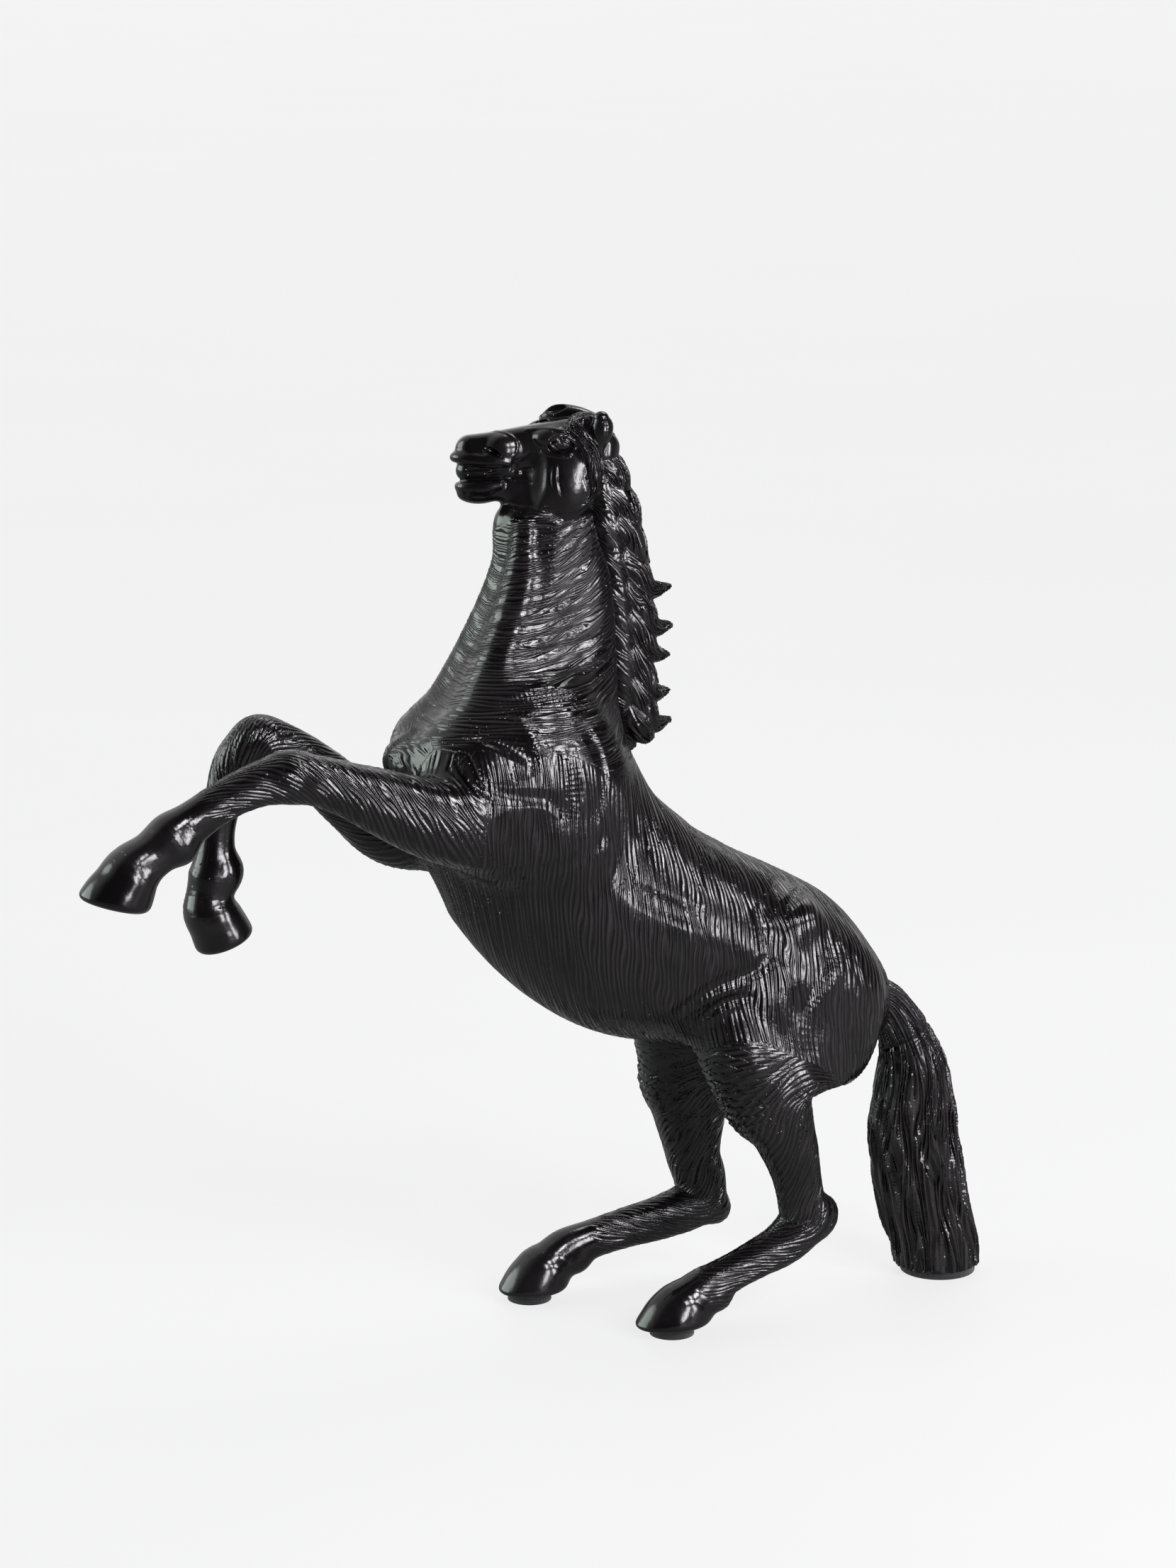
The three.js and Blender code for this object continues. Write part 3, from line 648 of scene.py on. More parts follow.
HEAD_SHAPES = [
    SKULL, LOWER_JAW,
    *head_bulges((3.8, 5.8, -5.4), (10.4, 4.4, 11), 2.6),  # cheek
    *head_bulges((5, 6.6, 8), (8, 3.7, 3.9), 1.2, 4),  # brow
    *head_bulges((4.4, 8.6, 6.7), (4.4, 1.5, 3), 0.8, -6, carved=True),  # eye socket
    *head_bulges((4.4, 7.9, 6.7), (3.7, 2.3, 2.3), 0.5, -6),  # eyeball
    Bulge(on_head((6, -6.5, 10.6)), (7.5, 3.4, 3.2), HEAD_AXES, 1.4),  # right brow, raised
    Bulge(on_head((8.6, -5, 12.6)), (2.2, 1.7, 1.2), HEAD_AXES, 0.8, carved=True),
    *head_bulges((-4, 6.6, 5), (4, 3, 5), 2),  # temple
    *head_bulges((15.4, 9.0, -2.4), (4.6, 2.4, 8), 3.6, carved=True),  # hollow before the cheek
    *head_bulges((22.4, 4.8, 5.0), (5.2, 2.9, 4.5), 1.6),  # flare of the nostril
    GUMS,
    muzzle_limb([(36.6, 0, 2.7, 1.6, 1.8), (35.8, 2.6, 2.7, 1.7, 1.8), (33.4, 4.4, 2.4, 1.8, 1.7),
                 (29.6, 5.5, 1.9, 1.9, 1.7), (25.4, 6, 1.5, 2, 1.6), (21, 6, 1, 1.2, 1)],
                blend=1.4),  # upper lip
    Bulge(on_head((29.5, 0, -8.7)), (6.8, 4.7, 3.2), HEAD_AXES, 1.2),  # chin
    muzzle_limb([(35.4, 0, -6.4, 1.7, 1.6), (34.6, 2.6, -6.4, 1.9, 1.7), (32, 4.2, -6.4, 2, 1.7),
                 (28, 4.9, -6.5, 1.9, 1.6), (23.6, 5, -5.8, 1.2, 1.2)], blend=1.4),  # lower lip
    muzzle_limb([(37.6, 0, -4.4, 0.7, 2), (36.2, 2.9, -4.3, 0.7, 2), (33, 5.4, -4, 0.7, 2),
                 (28.6, 6.2, -3.5, 0.9, 2.2), (24.8, 6.4, -2.2, 1.2, 2.2), (21.8, 6.3, -2.8, 0.9, 1.6)],
                blend=0.6, carved=True),  # the open mouth
    *head_bulges((25.8, 6.6, 4.5), (2.9, 2, 1), 0.6, 30, carved=True),  # nostril
    FORELOCK, LEFT_EAR, RIGHT_EAR,
    Bulge(on_head((-4.8, 6.6, 11.6)), (2.6, 1.5, 3.6), HEAD_AXES, 0.6),  # inside of the left ear
    # inside of the right ear
    Bulge(on_head((5, -6.4, 16.8)), (4.4, 1.7, 1.4), HEAD_AXES, 0.8, carved=True),
]

HEAD_STROKES = [
    # half thickness, height, then points forwards and up on the side of the face
    (1.0, 0.9, [(16, 11), (11, 11.3), (6.1, 11), (1.6, 10), (-1.6, 7.4), (-2.6, 4.6)]),  # ridge of the brow
    (0.9, -0.9, [(3.4, 13), (0, 11.2), (-3, 8.4), (-4, 4.6), (-4.2, 0)]),  # behind the brow
    (0.8, 0.75, [(9, 7.4), (6.6, 9.1), (3.6, 9.3), (1, 7.6), (0.2, 5.8)]),  # upper lid
    (0.8, 0.7, [(9, 7.4), (7, 5.4), (4, 4.3), (1.6, 4.7), (0.2, 5.8)]),  # lower lid
    (0.7, -0.35, [(8, 10.4), (4, 10.8), (0.4, 9.2)]),  # over the lid
    (0.6, 0.4, [(6.6, 8.2), (5.7, 7.2), (6.2, 5.9)]),  # iris
    (0.5, 0.4, [(4.8, 8), (3.2, 7.9), (2, 6.9)]),
    (0.5, -0.4, [(5, 7), (3.6, 6.9), (2.2, 5.9)]),  # pupil
    (0.9, 0.4, [(1, 3.6), (4, 2.8), (8, 3.4), (12, 4.6)]),  # under the eye
    (0.8, 0.5, [(25, 10.4), (20.8, 9.8), (18.2, 7.2), (18.4, 4.4), (20.4, 2.2)]),  # back of the flare
    (0.8, 0.45, [(29, 5.4), (26.6, 4), (24.2, 2.9), (22, 2.6)]),  # rim of the nostril
    (0.6, -0.35, [(35, 0.6), (30, 0.3), (25, 0.2), (21.6, 0.2)]),  # gums
    (0.6, -0.35, [(35, -0.9), (30, -1), (25, -0.8)]),
    (0.6, -0.3, [(35, -2.3), (30, -2.3), (26.5, -1.9)]),
    (1.6, -0.5, [(20.6, -4.6), (18.6, -1), (19.4, 2)]),  # behind the corner of the mouth
    (0.8, -0.35, [(20, 1), (17, 2), (13.6, 4.4)]),  # creases from the corner of the mouth
    (0.8, -0.35, [(20, -1.4), (16.5, -1.6), (13, -0.6)]),
    (0.8, -0.35, [(20.5, -4), (17, -5), (13.4, -5.4)]),
    (1.0, -0.35, [(8, 1), (8.6, -4), (8, -9)]),  # along the cheek
    (1.0, -0.35, [(5.4, 1), (5.6, -4.4), (4.6, -10)]),
    (1.0, 0.45, [(2, -14.6), (-3, -12), (-6, -7), (-6.6, -2)]),  # back of the jaw
]

HEAD_BASE = Sculpt(HEAD_SHAPES)


def on_face(points, side):
    """Places on the skin at these points forwards and up, seen from one side."""
    starts = on_head([(f, 16 * side, u) for f, u in points])
    return trace(HEAD_BASE, starts, -side * HEAD_LEFT)


FACE = [
    Stroke(on_face(points, side), radius, height)
    for radius, height, points in HEAD_STROKES
    for side in (-1, 1)
]

HAIRY = [BARREL, NECK, *LEGS, SKULL, LOWER_JAW, GUMS, FORELOCK, LEFT_EAR, RIGHT_EAR]
BODY_SHAPES = [BARREL, NECK, *NECK_FRONT, THROAT, *LEGS, *MUSCLES, *STIFLES, *LEG_BONES, *HOOVES]

SIDE_STROKES = [
    # half thickness, height, then points along X and Z on the flank
    (4.0, -0.6, [(-84, 173), (-70, 164.5), (-57, 159.5), (-41, 159), (-25, 162), (-12, 171)]),  # armpit
    (3.4, -0.6, [(-63, 189), (-50, 184.5), (-36, 182), (-27, 176)]),  # shoulder and arm
    (3.0, -0.5, [(-24, 206), (-17, 194), (-16, 182), (-20, 172)]),  # behind the shoulder
    (3.6, -0.8, [(8, 104), (16, 111), (24, 116.5), (36, 119.5), (44, 124)]),  # fold of the flank
    (2.4, -0.8, [(18, 103), (26, 109.5), (35, 111.5)]),
    (2.6, 0.6, [(14, 106.5), (23, 112.5), (34, 115)]),
    (6.0, -0.4, [(62, 124), (60, 112), (55, 100), (52, 88)]),  # between thigh and buttock
    (3.0, -0.6, [(46, 135), (52, 139), (60, 139.5)]),  # over the hip
    (3.0, -0.5, [(24, 84), (31, 79), (38, 77)]),  # under the stifle
    (4.0, -0.9, [(-58, 205), (-53, 202), (-47, 199), (-41, 195), (-38, 190)]),  # between blade and arm
    (4.0, -0.8, [(-50, 208), (-44, 210), (-36, 212), (-25, 211), (-19, 207)]),  # foot of the neck
    (4.5, -0.9, [(-29, 199), (-28, 192), (-27, 183), (-29, 174)]),  # behind the arm
    (4.0, 0.8, [(-44, 208), (-40, 202), (-37, 196)]),  # lower end of the blade
    (4.0, 0.8, [(-62, 198), (-59, 193), (-56, 188)]),  # front of the arm
    (5.0, -0.6, [(-9, 154), (-3, 148), (6, 143), (20, 137)]),  # between ribs and belly
    (4.5, -0.7, [(42, 139), (39, 132), (41, 126)]),  # before the haunch
    (5.0, 0.8, [(66, 129), (65, 117), (59, 109), (52, 98)]),  # back of the thigh
]

BODY_BASE = Sculpt(BODY_SHAPES)


def on_flank(points, side):
    starts = np.array([(x, 60 * side, z) for x, z in points], float)
    return trace(BODY_BASE, starts, (0, -side, 0))


FLANK = [
    Stroke(on_flank(points, side), radius, height)
    for radius, height, points in SIDE_STROKES
    for side in (-1, 1)
]

BODY = Sculpt(BODY_SHAPES + HEAD_SHAPES, FLANK + FACE)

TAIL = Limb([
    (84, 0, 99, 6, 6), (94, 0, 96, 7, 7), (100, 0, 89, 8, 8), (104.5, 0, 80, 9.6, 9),
    (106.5, 0, 71, 12.2, 10.5),
    (107, 0, 57, 14.6, 11.5), (108.5, 0, 42, 15.2, 12), (111.5, 0, 26, 15, 12.5), (115, 0, 14, 14.2, 13),
    (117, 0, 4, 14.4, 13), (117, 0, 2, 14.4, 13),
], step=1.5, blend=3,
    hair=lock_hair(13, 2.1, 0.3, 51, 0.08, 18))

TAIL_SEED = 50


def on_tail(along, turn):
    """Places on the tail's skin: sample numbers along it and angles round it."""
    ring = TAIL.deep[along] * (np.cos(turn) * TAIL.size[along, 0])[:, None]
    return TAIL.centre[along] + ring + TAIL.wide[along] * (np.sin(turn) * TAIL.size[along, 1])[:, None]


def tail_strands(count=14, swing=0.14, first=30):
    """Ridges with hollows between them that waver down the tail, from its first hairy sample."""
    rng = np.random.default_rng(TAIL_SEED)
    along = np.arange(first, len(TAIL.centre))
    strands = []
    for i in range(count):
        turn = 2 * math.pi * (i + rng.uniform(-0.2, 0.2)) / count
        wave = swing * np.sin(rng.uniform(0, 2 * math.pi) + along / rng.uniform(4.5, 7))
        ridge, hollow = on_tail(along, turn + wave), on_tail(along, turn + wave + math.pi / count)
        strands += [Stroke(ridge, 3.2, rng.uniform(0.5, 1.3), 0.2), Stroke(hollow, 2.4, -1.2, 0.2)]
    return strands


MANE_ROOT = Limb([
    (-10, 1, 288, 3, 4), (-7.5, 0, 281, 4.5, 5.6), (-5, 0, 268, 6, 6.6), (-2.5, 0, 252, 6.5, 7),
    (0, 0, 232, 6.5, 7), (1.5, 0, 212, 6.5, 6.6), (3, 0, 199, 5.4, 5), (5, 0, 189.5, 2.2, 2),
], blend=2, hair=mane_root_hair)

LOCK_POINTS = [
    # root, bend, hook and tip of each lock
    [(-9, 1, 287), (-5.5, 0, 286), (-3, -1, 283), (-1.5, -1, 280)],
    [(-7, 0, 281), (-2.6, -1, 277.5), (0.6, -1.6, 272.5), (3.2, -1, 268.5)],
    [(-5, 0, 272), (0.6, -1, 268), (4.4, -1.6, 261.5), (7.4, -1, 257.5)],
    [(-3, 0, 263), (2.6, -1, 258), (6.6, -1.8, 250.5), (10.4, -1, 248)],
    [(-2, 0, 253), (4.4, -1, 247), (9.6, -1.6, 239.5), (18, 0, 239.5)],
    [(-1, 0, 244), (5.4, -1, 237), (11, -1.6, 227.5), (18.6, 0, 227)],
    [(0, 0, 234), (5.6, -1, 228), (10.6, -1.6, 219.5), (17.6, 0, 217.5)],
    [(1, 0, 223), (6, -1, 216), (11, -1.6, 206.5), (17.6, 0, 206)],
    [(2, 0, 212), (7, -1, 204.5), (11.4, -1.4, 196.5), (18.4, 0, 196.5)],
    [(4, 0, 201), (7, -1, 197), (9.6, -1, 193), (12.4, 0, 191.5)],
]
LOCK_SIZES = [(6, 6.2), (5.6, 6), (3.8, 4.4), (0.9, 1.2)]

LOCKS = [
    Limb([(*point, *size) for point, size in zip(points, LOCK_SIZES)], step=0.6, blend=0.5,
         hair=lock_hair(5, 1.5, 0.32, 70 + i))
    for i, points in enumerate(LOCK_POINTS)
]
MANE = Sculpt([MANE_ROOT, *LOCKS])


# ---------------- castings

class Plane:
    def __init__(self, at, normal):
        self.at, self.normal = np.asarray(at, float), unit(normal)

    def beyond(self, p):
        return (p - self.at) @ self.normal > 0


NECK_JOINT = Plane((-29, 0, 206), (0.12, 0, 0.99))
HEAD_JOINT = Plane((-19.5, 0, 257), (0.12, 0, 0.99))
FORE_JOINTS = [Plane((-78, -25, 180.5), (-0.97, 0, 0.25)), Plane((-78, 26, 172), (-0.97, 0, 0.25))]
FORE_INNER = 8.0
HIND_HEIGHTS = [62.0, 58.0]
TAIL_JOINT = Plane((106, 0, 78), (0.25, 0, -0.97))


def in_head(p):
    return HEAD_JOINT.beyond(p)


def in_neck(p):
    return NECK_JOINT.beyond(p) & ~HEAD_JOINT.beyond(p)


def in_foreleg(side):
    joint = FORE_JOINTS[0 if side < 0 else 1]
    return lambda p: joint.beyond(p) & (p[:, 1] * side > FORE_INNER) & ~NECK_JOINT.beyond(p)


def in_hindleg(side):
    height = HIND_HEIGHTS[0 if side < 0 else 1]
    return lambda p: (p[:, 2] < height) & (p[:, 1] * side > 0)


def in_torso(p):
    others = in_neck(p) | in_head(p)
    for side in (-1, 1):
        others |= in_foreleg(side)(p) | in_hindleg(side)(p)
    return ~others


SIDE_PLANES = [Plane((0, side * FORE_INNER, 0), (0, side, 0)) for side in (-1, 1)]
HIND_PLANES = [Plane((0, 0, z), (0, 0, -1)) for z in HIND_HEIGHTS]
TORSO_CUTS = [Plane(at, (0.8, 0, -0.6)) for at in ((-23, 0, 161), (12, 0, 128), (62, 0, 107.7))]
TORSO_PIECES = {
    "torso_chest": ((-86, -42, 118), (20, 42, 214)),
    "torso_ribs": ((-58, -42, 92), (42, 42, 200)),
    "torso_loin": ((-16, -42, 56), (86, 42, 162)),
    "torso_croup": ((18, -42, 54), (100, 42, 140)),
}


def place_object(name, data):
    obj = bpy.data.objects.new(name, data)
    bpy.context.scene.collection.objects.link(obj)
    return obj


def cut_away(data, planes, keep):
    """Cuts a mesh by planes, keeps the faces whose middles pass, and closes it with flat caps."""
    bm = bmesh.new()
    bm.from_mesh(data)
    for plane in planes:
        geom = bm.verts[:] + bm.edges[:] + bm.faces[:]
        bmesh.ops.bisect_plane(bm, geom=geom, dist=1e-5, plane_co=plane.at, plane_no=plane.normal)
    bm.faces.ensure_lookup_table()
    middles = np.array([f.calc_center_median() for f in bm.faces])
    out = np.flatnonzero(~keep(middles))
    bmesh.ops.delete(bm, geom=[bm.faces[i] for i in out], context="FACES")
    rim = [e for e in bm.edges if e.is_boundary]
    caps = bmesh.ops.holes_fill(bm, edges=rim, sides=0)["faces"] if rim else []
    for f in bm.faces:
        f.smooth = True
    for f in caps:
        f.smooth = False
    bm.to_mesh(data)
    bm.free()


def read(items, field, kind, width=1):
    """One property of every item of a mesh's list, as an array."""
    values = np.empty(len(items) * width, kind)
    items.foreach_get(field, values)
    return values.reshape(-1, width) if width > 1 else values


def work_hair(data, local, limbs):
    """Raises the strokes of hair on a mesh in millimetres, and puts it in the row frame's metres.

    The shading keeps the skin's own direction, because the material adds the same strokes to it.
    """
    p = read(data.vertices, "co", float, 3)
    normals = slope(local, p)[1]
    phase, strength = spread(lambda rows: np.column_stack(hair_at(rows, limbs)), p).T
    height = strength * np.cos(2 * math.pi * phase)
    placed = row_frame(p + normals * height[:, None])
    data.vertices.foreach_set("co", placed.astype(np.float32).ravel())
    hair = data.attributes.new("hair", "FLOAT_VECTOR", "POINT")
    values = np.stack([phase, strength, np.zeros(len(p))], 1)
    hair.data.foreach_set("vector", values.astype(np.float32).ravel())
    smooth = read(data.polygons, "use_smooth", bool)
    starts = read(data.polygons, "loop_start", np.int64)
    totals = read(data.polygons, "loop_total", np.int64)
    corner = normals[read(data.loops, "vertex_index", np.int64)]
    for i in np.flatnonzero(~smooth):
        corner[starts[i]:starts[i] + totals[i]] = data.polygons[i].normal
    data.update()
    data.normals_split_custom_set(corner.tolist())


def casting(name, sculpt, limbs, low, high, cell, planes, keep, node):
    """One casting's visible skin: meshed, cut at its joints, capped and worked with hair."""
    verts, quads, local = skin(sculpt, low, high, cell * COARSE)
    data = bpy.data.meshes.new(name)
    data.from_pydata(settle(local, verts).tolist(), [], quads.tolist())
    if planes:
        cut_away(data, planes, keep)
    else:
        data.polygons.foreach_set("use_smooth", np.ones(len(data.polygons), bool))
    work_hair(data, local, limbs)
    data.materials.append(BRONZE)
    obj = place_object(name, data)
    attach(obj, "root")
    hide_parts(node)
    print("piece", name, len(data.vertices), "vertices", len(data.polygons), "faces")


# ---------------- materials

class Graph:
    """A node tree, with short ways to add to it."""

    def __init__(self, owner):
        owner.use_nodes = True
        self.nodes, self.links = owner.node_tree.nodes, owner.node_tree.links

    def feed(self, node, inputs):
        """Gives a node's inputs, by name, either sockets to link or plain values."""
        for name, value in inputs.items():
            if isinstance(value, bpy.types.NodeSocket):
                self.links.new(value, node.inputs[name])
            else:
                node.inputs[name].default_value = value

    def add(self, kind, **inputs):
        node = self.nodes.new("ShaderNode" + kind)
        self.feed(node, inputs)
        return node

    def math(self, kind, a, b=None):
        node = self.add("Math")
        node.operation = kind
        self.feed(node, {i: value for i, value in enumerate((a, b)) if value is not None})
        return node.outputs[0]

    def noise(self, coords, scale, detail=3.0, roughness=0.55):
        node = self.add("TexNoise", Vector=coords, Scale=scale, Detail=detail, Roughness=roughness)
        return node.outputs["Fac"]

    def ramp(self, value, stops):
        node = self.add("ValToRGB")
        self.feed(node, {0: value})
        elements = node.color_ramp.elements
        while len(elements) < len(stops):
            elements.new(0.5)
        for element, (place, color) in zip(elements, stops):
            element.position = place
            element.color = (*color, 1)
        return node.outputs[0]

    def bump(self, height, distance):
        return self.add("Bump", Height=height, Distance=distance, Strength=1.0).outputs[0]

    def fade(self, value, edge, levels):
        """Goes smoothly from one level to the other as the value passes between the edges."""
        node = self.add("MapRange", Value=value)
        node.interpolation_type = "SMOOTHSTEP"
        self.feed(node, dict(zip(("From Min", "From Max", "To Min", "To Max"), (*edge, *levels))))
        return node.outputs["Result"]

    def camera_sees(self, others_see, level):
        """A number that is 'level' to the camera, and 'others_see' in every reflection."""
        node = self.add("Mix")
        node.data_type = "FLOAT"
        ray = self.add("LightPath").outputs["Is Camera Ray"]
        self.feed(node, {"Factor": ray, "A": others_see, "B": level})
        return node.outputs["Result"]


def grey(level):
    return level, level, level


def new_material(name):
    """A material, its graph, its shader and the place on the object."""
    material = bpy.data.materials.new(name)
    graph = Graph(material)
    return material, graph, graph.nodes["Principled BSDF"], graph.add("TexCoord").outputs["Object"]


CREST_WEAR_AND_HOLLOW_SHADE = 3.6  # how much paler the crest of a stroke is than its hollow, to a millimetre: partly rubbed wear on the crests, partly painted shade in the hollows


def bronze_material():
    """Near-black lacquered bronze, worked with fine strokes along the hair, with painted shade in their
    hollows.
    """
    material, graph, shader, place = new_material("patinated bronze")
    hair = graph.add("Attribute")
    hair.attribute_name = "hair"
    phase, strength, _ = graph.add("SeparateXYZ", Vector=hair.outputs["Vector"]).outputs
    wave = graph.math("COSINE", graph.math("MULTIPLY", phase, 2 * math.pi))
    groove = graph.math("MULTIPLY", wave, strength)
    pits = graph.math("MULTIPLY", graph.noise(place, 900, 4), 0.035)
    waves = graph.math("MULTIPLY", graph.noise(place, 160, 2), 0.12)
    height = graph.math("ADD", graph.math("ADD", groove, pits), waves)
    cloud = graph.noise(place, 55, 4)
    # painted shade: the base colour is darker in the hollows of the strokes and paler on their crests,
    # partly as rubbed wear
    worn_and_shaded = graph.math("ADD", graph.math("MULTIPLY", groove, CREST_WEAR_AND_HOLLOW_SHADE), cloud)
    graph.feed(shader, {
        "Base Color": graph.ramp(worn_and_shaded, [
            (0.1, (0.001, 0.0009, 0.0011)), (0.5, (0.0035, 0.003, 0.0033)), (0.95, (0.014, 0.0125, 0.013)),
        ]),
        "Normal": graph.bump(height, MM),
        "Roughness": graph.ramp(cloud, [(0.3, grey(0.12)), (0.75, grey(0.2))]),
        "Metallic": 0.0,
        "IOR": 1.45,
    })
    return material


def felt_material():
    material, graph, shader, place = new_material("black felt")
    fuzz = graph.noise(place, 2600, 5, 0.7)
    graph.feed(shader, {
        "Base Color": graph.ramp(fuzz, [(0.3, (0.004, 0.004, 0.005)), (0.75, (0.016, 0.015, 0.016))]),
        "Normal": graph.bump(fuzz, 0.3 * MM),
        "Roughness": 0.95,
        "Sheen Weight": 0.3,
    })
    return material


def brass_material():
    material, graph, shader, place = new_material("bare brass")
    turned_marks = graph.noise(place, 900, 3)
    graph.feed(shader, {
        "Base Color": graph.ramp(turned_marks, [(0.3, (0.42, 0.28, 0.12)), (0.7, (0.62, 0.45, 0.22))]),
        "Roughness": graph.ramp(turned_marks, [(0.3, grey(0.3)), (0.7, grey(0.45))]),
        "Metallic": 1.0,
    })
    return material


BRONZE = bronze_material()
FELT = felt_material()
BRASS = brass_material()

# ---------------- build

for number, (name, box) in enumerate(TORSO_PIECES.items()):
    def in_piece(p, number=number):
        passed = sum(cut.beyond(p).astype(int) for cut in TORSO_CUTS)
        return in_torso(p) & (passed == number)

    casting(name, BODY, HAIRY, *box, 0.47,
            [NECK_JOINT, *FORE_JOINTS, *SIDE_PLANES, *HIND_PLANES, *TORSO_CUTS], in_piece, "torso_casting")

SOLE_CUT = Plane((0, 0, SOLE), (0, 0, -1))
RING_SAMPLE = 17  # the tail's sample at the joint
joint_ring = on_tail(np.full(49, RING_SAMPLE), np.linspace(0, 2 * math.pi, 49))
TAIL_SCULPT = Sculpt([TAIL], [*tail_strands(), Stroke(joint_ring, 1.5, -0.9, 0)])
HORSE, HAIR_OF_MANE, TAIL_ALONE = (BODY, HAIRY), (MANE, [MANE_ROOT, *LOCKS]), (TAIL_SCULPT, [TAIL])


def in_dock(p):
    return ~TAIL_JOINT.beyond(p)


def in_tail_hair(p):
    return TAIL_JOINT.beyond(p) & ~SOLE_CUT.beyond(p)


CASTINGS = [
    # name, sculpt and limbs with hair, box, cell, cutting planes, what it keeps
    ("neck", HORSE, (-80, -42, 198), (12, 42, 264), 0.45, [NECK_JOINT, HEAD_JOINT], in_neck),
    ("head", HORSE, (-60, -24, 250), (8, 30, 304), 0.34, [HEAD_JOINT], in_head),
    ("left_foreleg", HORSE, (-190, -42, 144), (-68, -4, 208), 0.5,
     [FORE_JOINTS[0], SIDE_PLANES[0], NECK_JOINT], in_foreleg(-1)),
    ("right_foreleg", HORSE, (-142, 4, 120), (-68, 42, 208), 0.5,
     [FORE_JOINTS[1], SIDE_PLANES[1], NECK_JOINT], in_foreleg(1)),
    ("left_hindleg", HORSE, (-8, -42, 0), (84, -2, 68), 0.5, [HIND_PLANES[0]], in_hindleg(-1)),
    ("right_hindleg", HORSE, (-36, 2, 0), (70, 42, 64), 0.5, [HIND_PLANES[1]], in_hindleg(1)),
    ("mane", HAIR_OF_MANE, (-18, -12, 182), (26, 12, 296), 0.45, [], None),
    ("tail_dock", TAIL_ALONE, (74, -20, 60), (130, 20, 112), 0.5, [TAIL_JOINT], in_dock),
    ("tail_hair", TAIL_ALONE, (80, -20, -20), (140, 20, 94), 0.5, [TAIL_JOINT, SOLE_CUT], in_tail_hair),
]
for name, (sculpt, limbs), low, high, cell, planes, keep in CASTINGS:
    casting(name, sculpt, limbs, low, high, cell, planes, keep, name + "_casting")

for name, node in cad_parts.items():
    node.data.materials.clear()
    node.data.materials.append(FELT if name.endswith("_pad") else BRASS)

# ---------------- stage

VIEW_TURN, VIEW_DROP = math.radians(22), math.radians(13)
VIEW_DISTANCE = 1400.0
VIEW_AT = np.array([0.0, 23.0, 172.0])
PICTURE_HEIGHT = 505.0  # millimetres across the picture's height at the horse


def turn_to(obj, way):
    obj.rotation_euler = Vector(way).to_track_quat("-Z", "Y").to_euler()


look = np.array([
    math.sin(VIEW_TURN) * math.cos(VIEW_DROP),
    math.cos(VIEW_TURN) * math.cos(VIEW_DROP),
    -math.sin(VIEW_DROP),
])
camera_data = bpy.data.cameras.new("camera")
camera_data.sensor_width = 36
camera_data.lens = 36 * VIEW_DISTANCE / PICTURE_HEIGHT
camera_data.clip_start = 0.05
camera = place_object("camera", camera_data)
camera.location = Vector(row_frame(VIEW_AT - look * VIEW_DISTANCE))
turn_to(camera, look)
bpy.context.scene.camera = camera
bpy.context.scene.view_settings.view_transform = "Standard"

AIM = (-10, 0, 150)  # where the soft boxes point


def softbox(name, at, size, watts, color=(1, 1, 1)):
    light = bpy.data.lights.new(name, "AREA")
    light.shape = "RECTANGLE"
    light.size, light.size_y = size[0] * MM, size[1] * MM
    light.energy = watts
    light.color = color
    obj = place_object(name, light)
    obj.location = Vector(row_frame(at))
    turn_to(obj, row_frame(AIM) - row_frame(at))
    obj.visible_camera = False


WINDOW_TINT = (0.98, 0.95, 1.0)
BRIGHT_SIDE = (-0.3, 0.95, 0.0)  # the studio's white wall is behind the horse
WALL_EDGE = (-0.25, 0.45)  # cosines between which the room brightens towards that wall
WHITE_LEVEL = 0.86
DARK_LEVEL = 0.03
SIDE_WINDOW = (-0.87, 0.44, 0.2)  # the way to a bright green-tinted window beyond the horse's head
SIDE_WINDOW_LEVEL = 5.0
SIDE_WINDOW_TINT = (0.86, 1.0, 0.93, 1)
SIDE_WINDOW_EDGE = (0.87, 0.93)  # cosines of its half width, at its outer and inner edge
WINDOW_SIZE = (190, 330)
WINDOW_ROWS = [(280, 5.2), (860, 7.2)]  # height and watts
WINDOW_COLUMNS = [(230, 1080), (600, 900)]  # to the picture's right and towards the camera
for row, (height, watts) in enumerate(WINDOW_ROWS):
    for column, (right, forward) in enumerate(WINDOW_COLUMNS):
        softbox(f"window {row} {column}", (right, -forward, height), WINDOW_SIZE, watts, WINDOW_TINT)
softbox("top", (500, 300, 1200), (600, 400), 5)

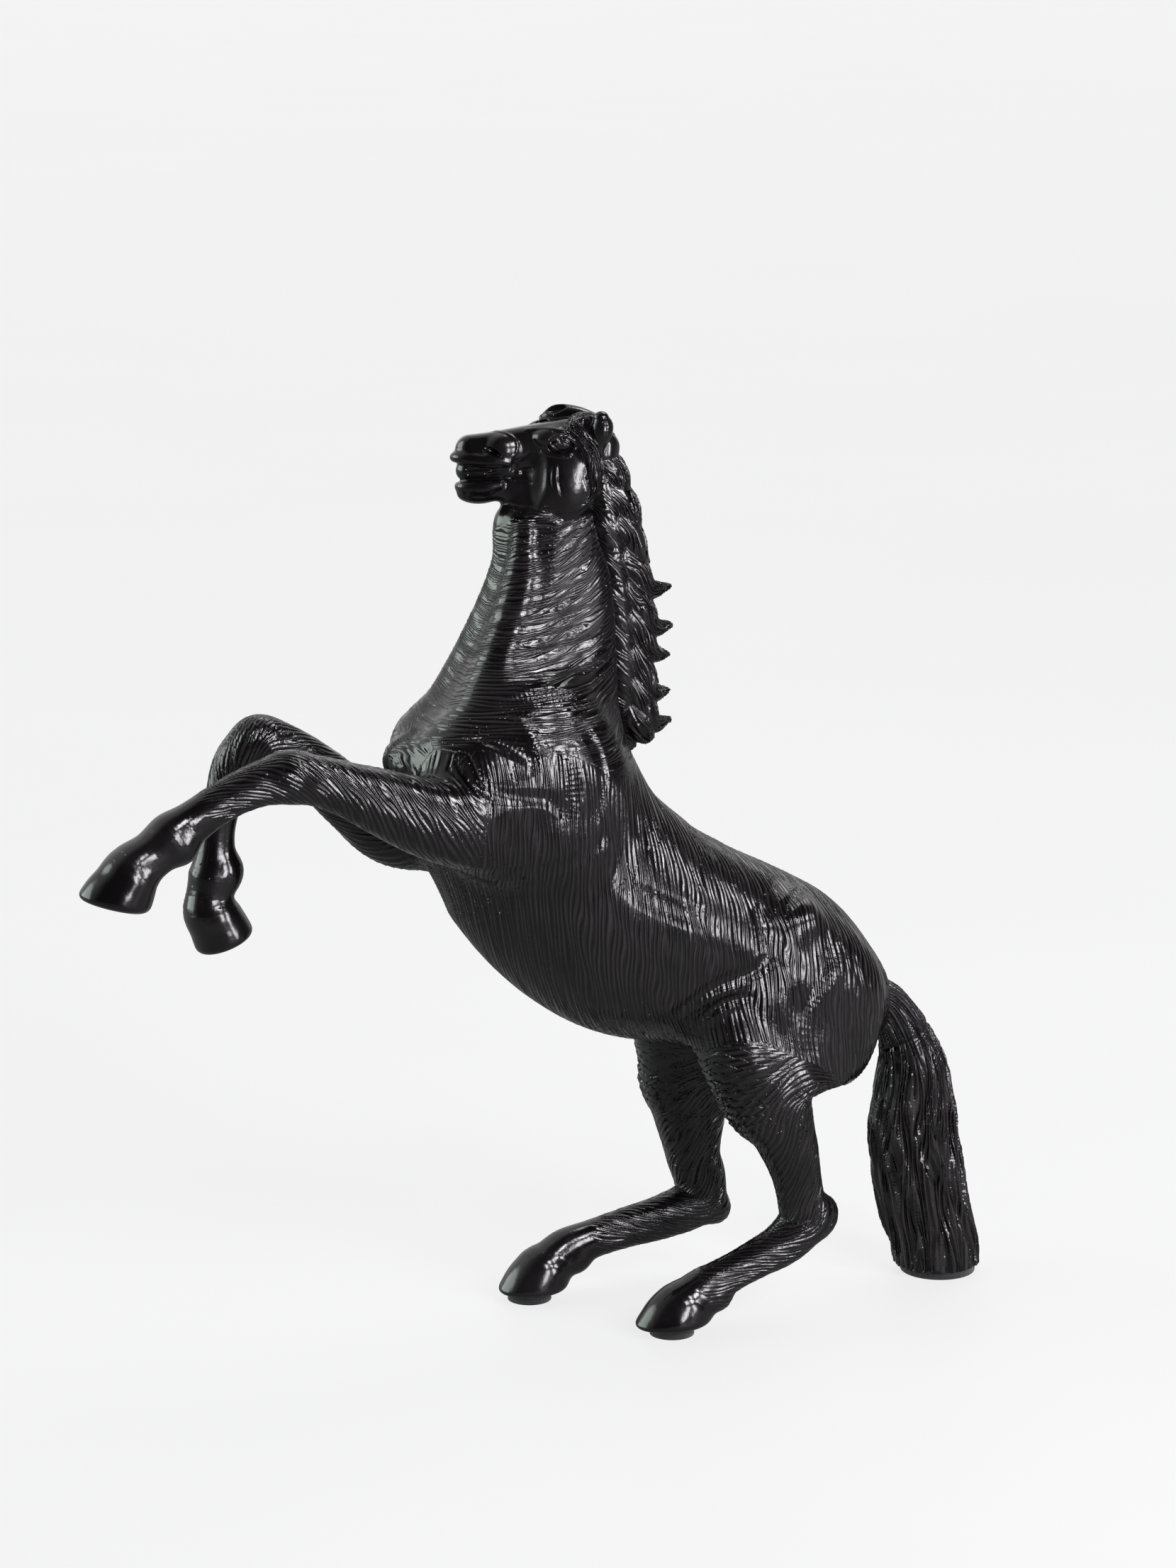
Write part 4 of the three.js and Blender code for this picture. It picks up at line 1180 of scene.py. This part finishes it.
world = bpy.data.worlds.new("studio")
sky = Graph(world)
bpy.context.scene.world = world
direction = sky.add("TexCoord").outputs["Generated"]


def sky_glow(toward, edge, levels):
    """Light that fades in as the direction of sight turns toward one direction."""
    dot = sky.add("VectorMath")
    dot.operation = "DOT_PRODUCT"
    sky.feed(dot, {0: direction, 1: unit(toward)})
    return sky.fade(dot.outputs["Value"], edge, levels)


wall = sky.camera_sees(sky_glow(BRIGHT_SIDE, WALL_EDGE, (DARK_LEVEL, WHITE_LEVEL)), WHITE_LEVEL)
glow = sky.camera_sees(sky_glow(SIDE_WINDOW, SIDE_WINDOW_EDGE, (0, SIDE_WINDOW_LEVEL)), 0.0)
background = sky.nodes["Background"]
sky.feed(background, {"Color": (1, 1, 1, 1), "Strength": wall})
side_window = sky.add("Background", Color=SIDE_WINDOW_TINT, Strength=glow)
both = sky.add("AddShader")
sky.feed(both, {0: background.outputs[0], 1: side_window.outputs[0]})
sky.feed(sky.nodes["World Output"], {"Surface": both.outputs[0]})

FLOOR_GLOW = 0.76  # the white table is lit from below as well, so the shadows on it are faint
FLOOR_IN_BRONZE = 0.2  # what the bronze mirrors of it
DARK_FLOOR = 0.04  # what it mirrors of the floor towards the camera
FLOOR_FADE = (-0.75, -0.05)  # between these places along Y
FLOOR_REACH = 12.0
corners = [(x * FLOOR_REACH, y * FLOOR_REACH, 0) for x, y in ((-1, -1), (1, -1), (1, 1), (-1, 1))]
floor_data = bpy.data.meshes.new("floor")
floor_data.from_pydata(corners, [], [(0, 1, 2, 3)])
floor = place_object("floor", floor_data)
material, graph, shader, place = new_material("pale floor")
depth = graph.add("SeparateXYZ", Vector=place).outputs[1]
mirrored = graph.fade(depth, FLOOR_FADE, (DARK_FLOOR, FLOOR_IN_BRONZE))
graph.feed(shader, {
    "Base Color": graph.ramp(graph.noise(place, 3), [(0.3, grey(0.08)), (0.7, grey(0.09))]),
    "Roughness": 0.6,
    "Specular IOR Level": 0.2,
    "Emission Color": (1, 1, 1, 1),
    "Emission Strength": graph.camera_sees(mirrored, FLOOR_GLOW),
})
floor_data.materials.append(material)
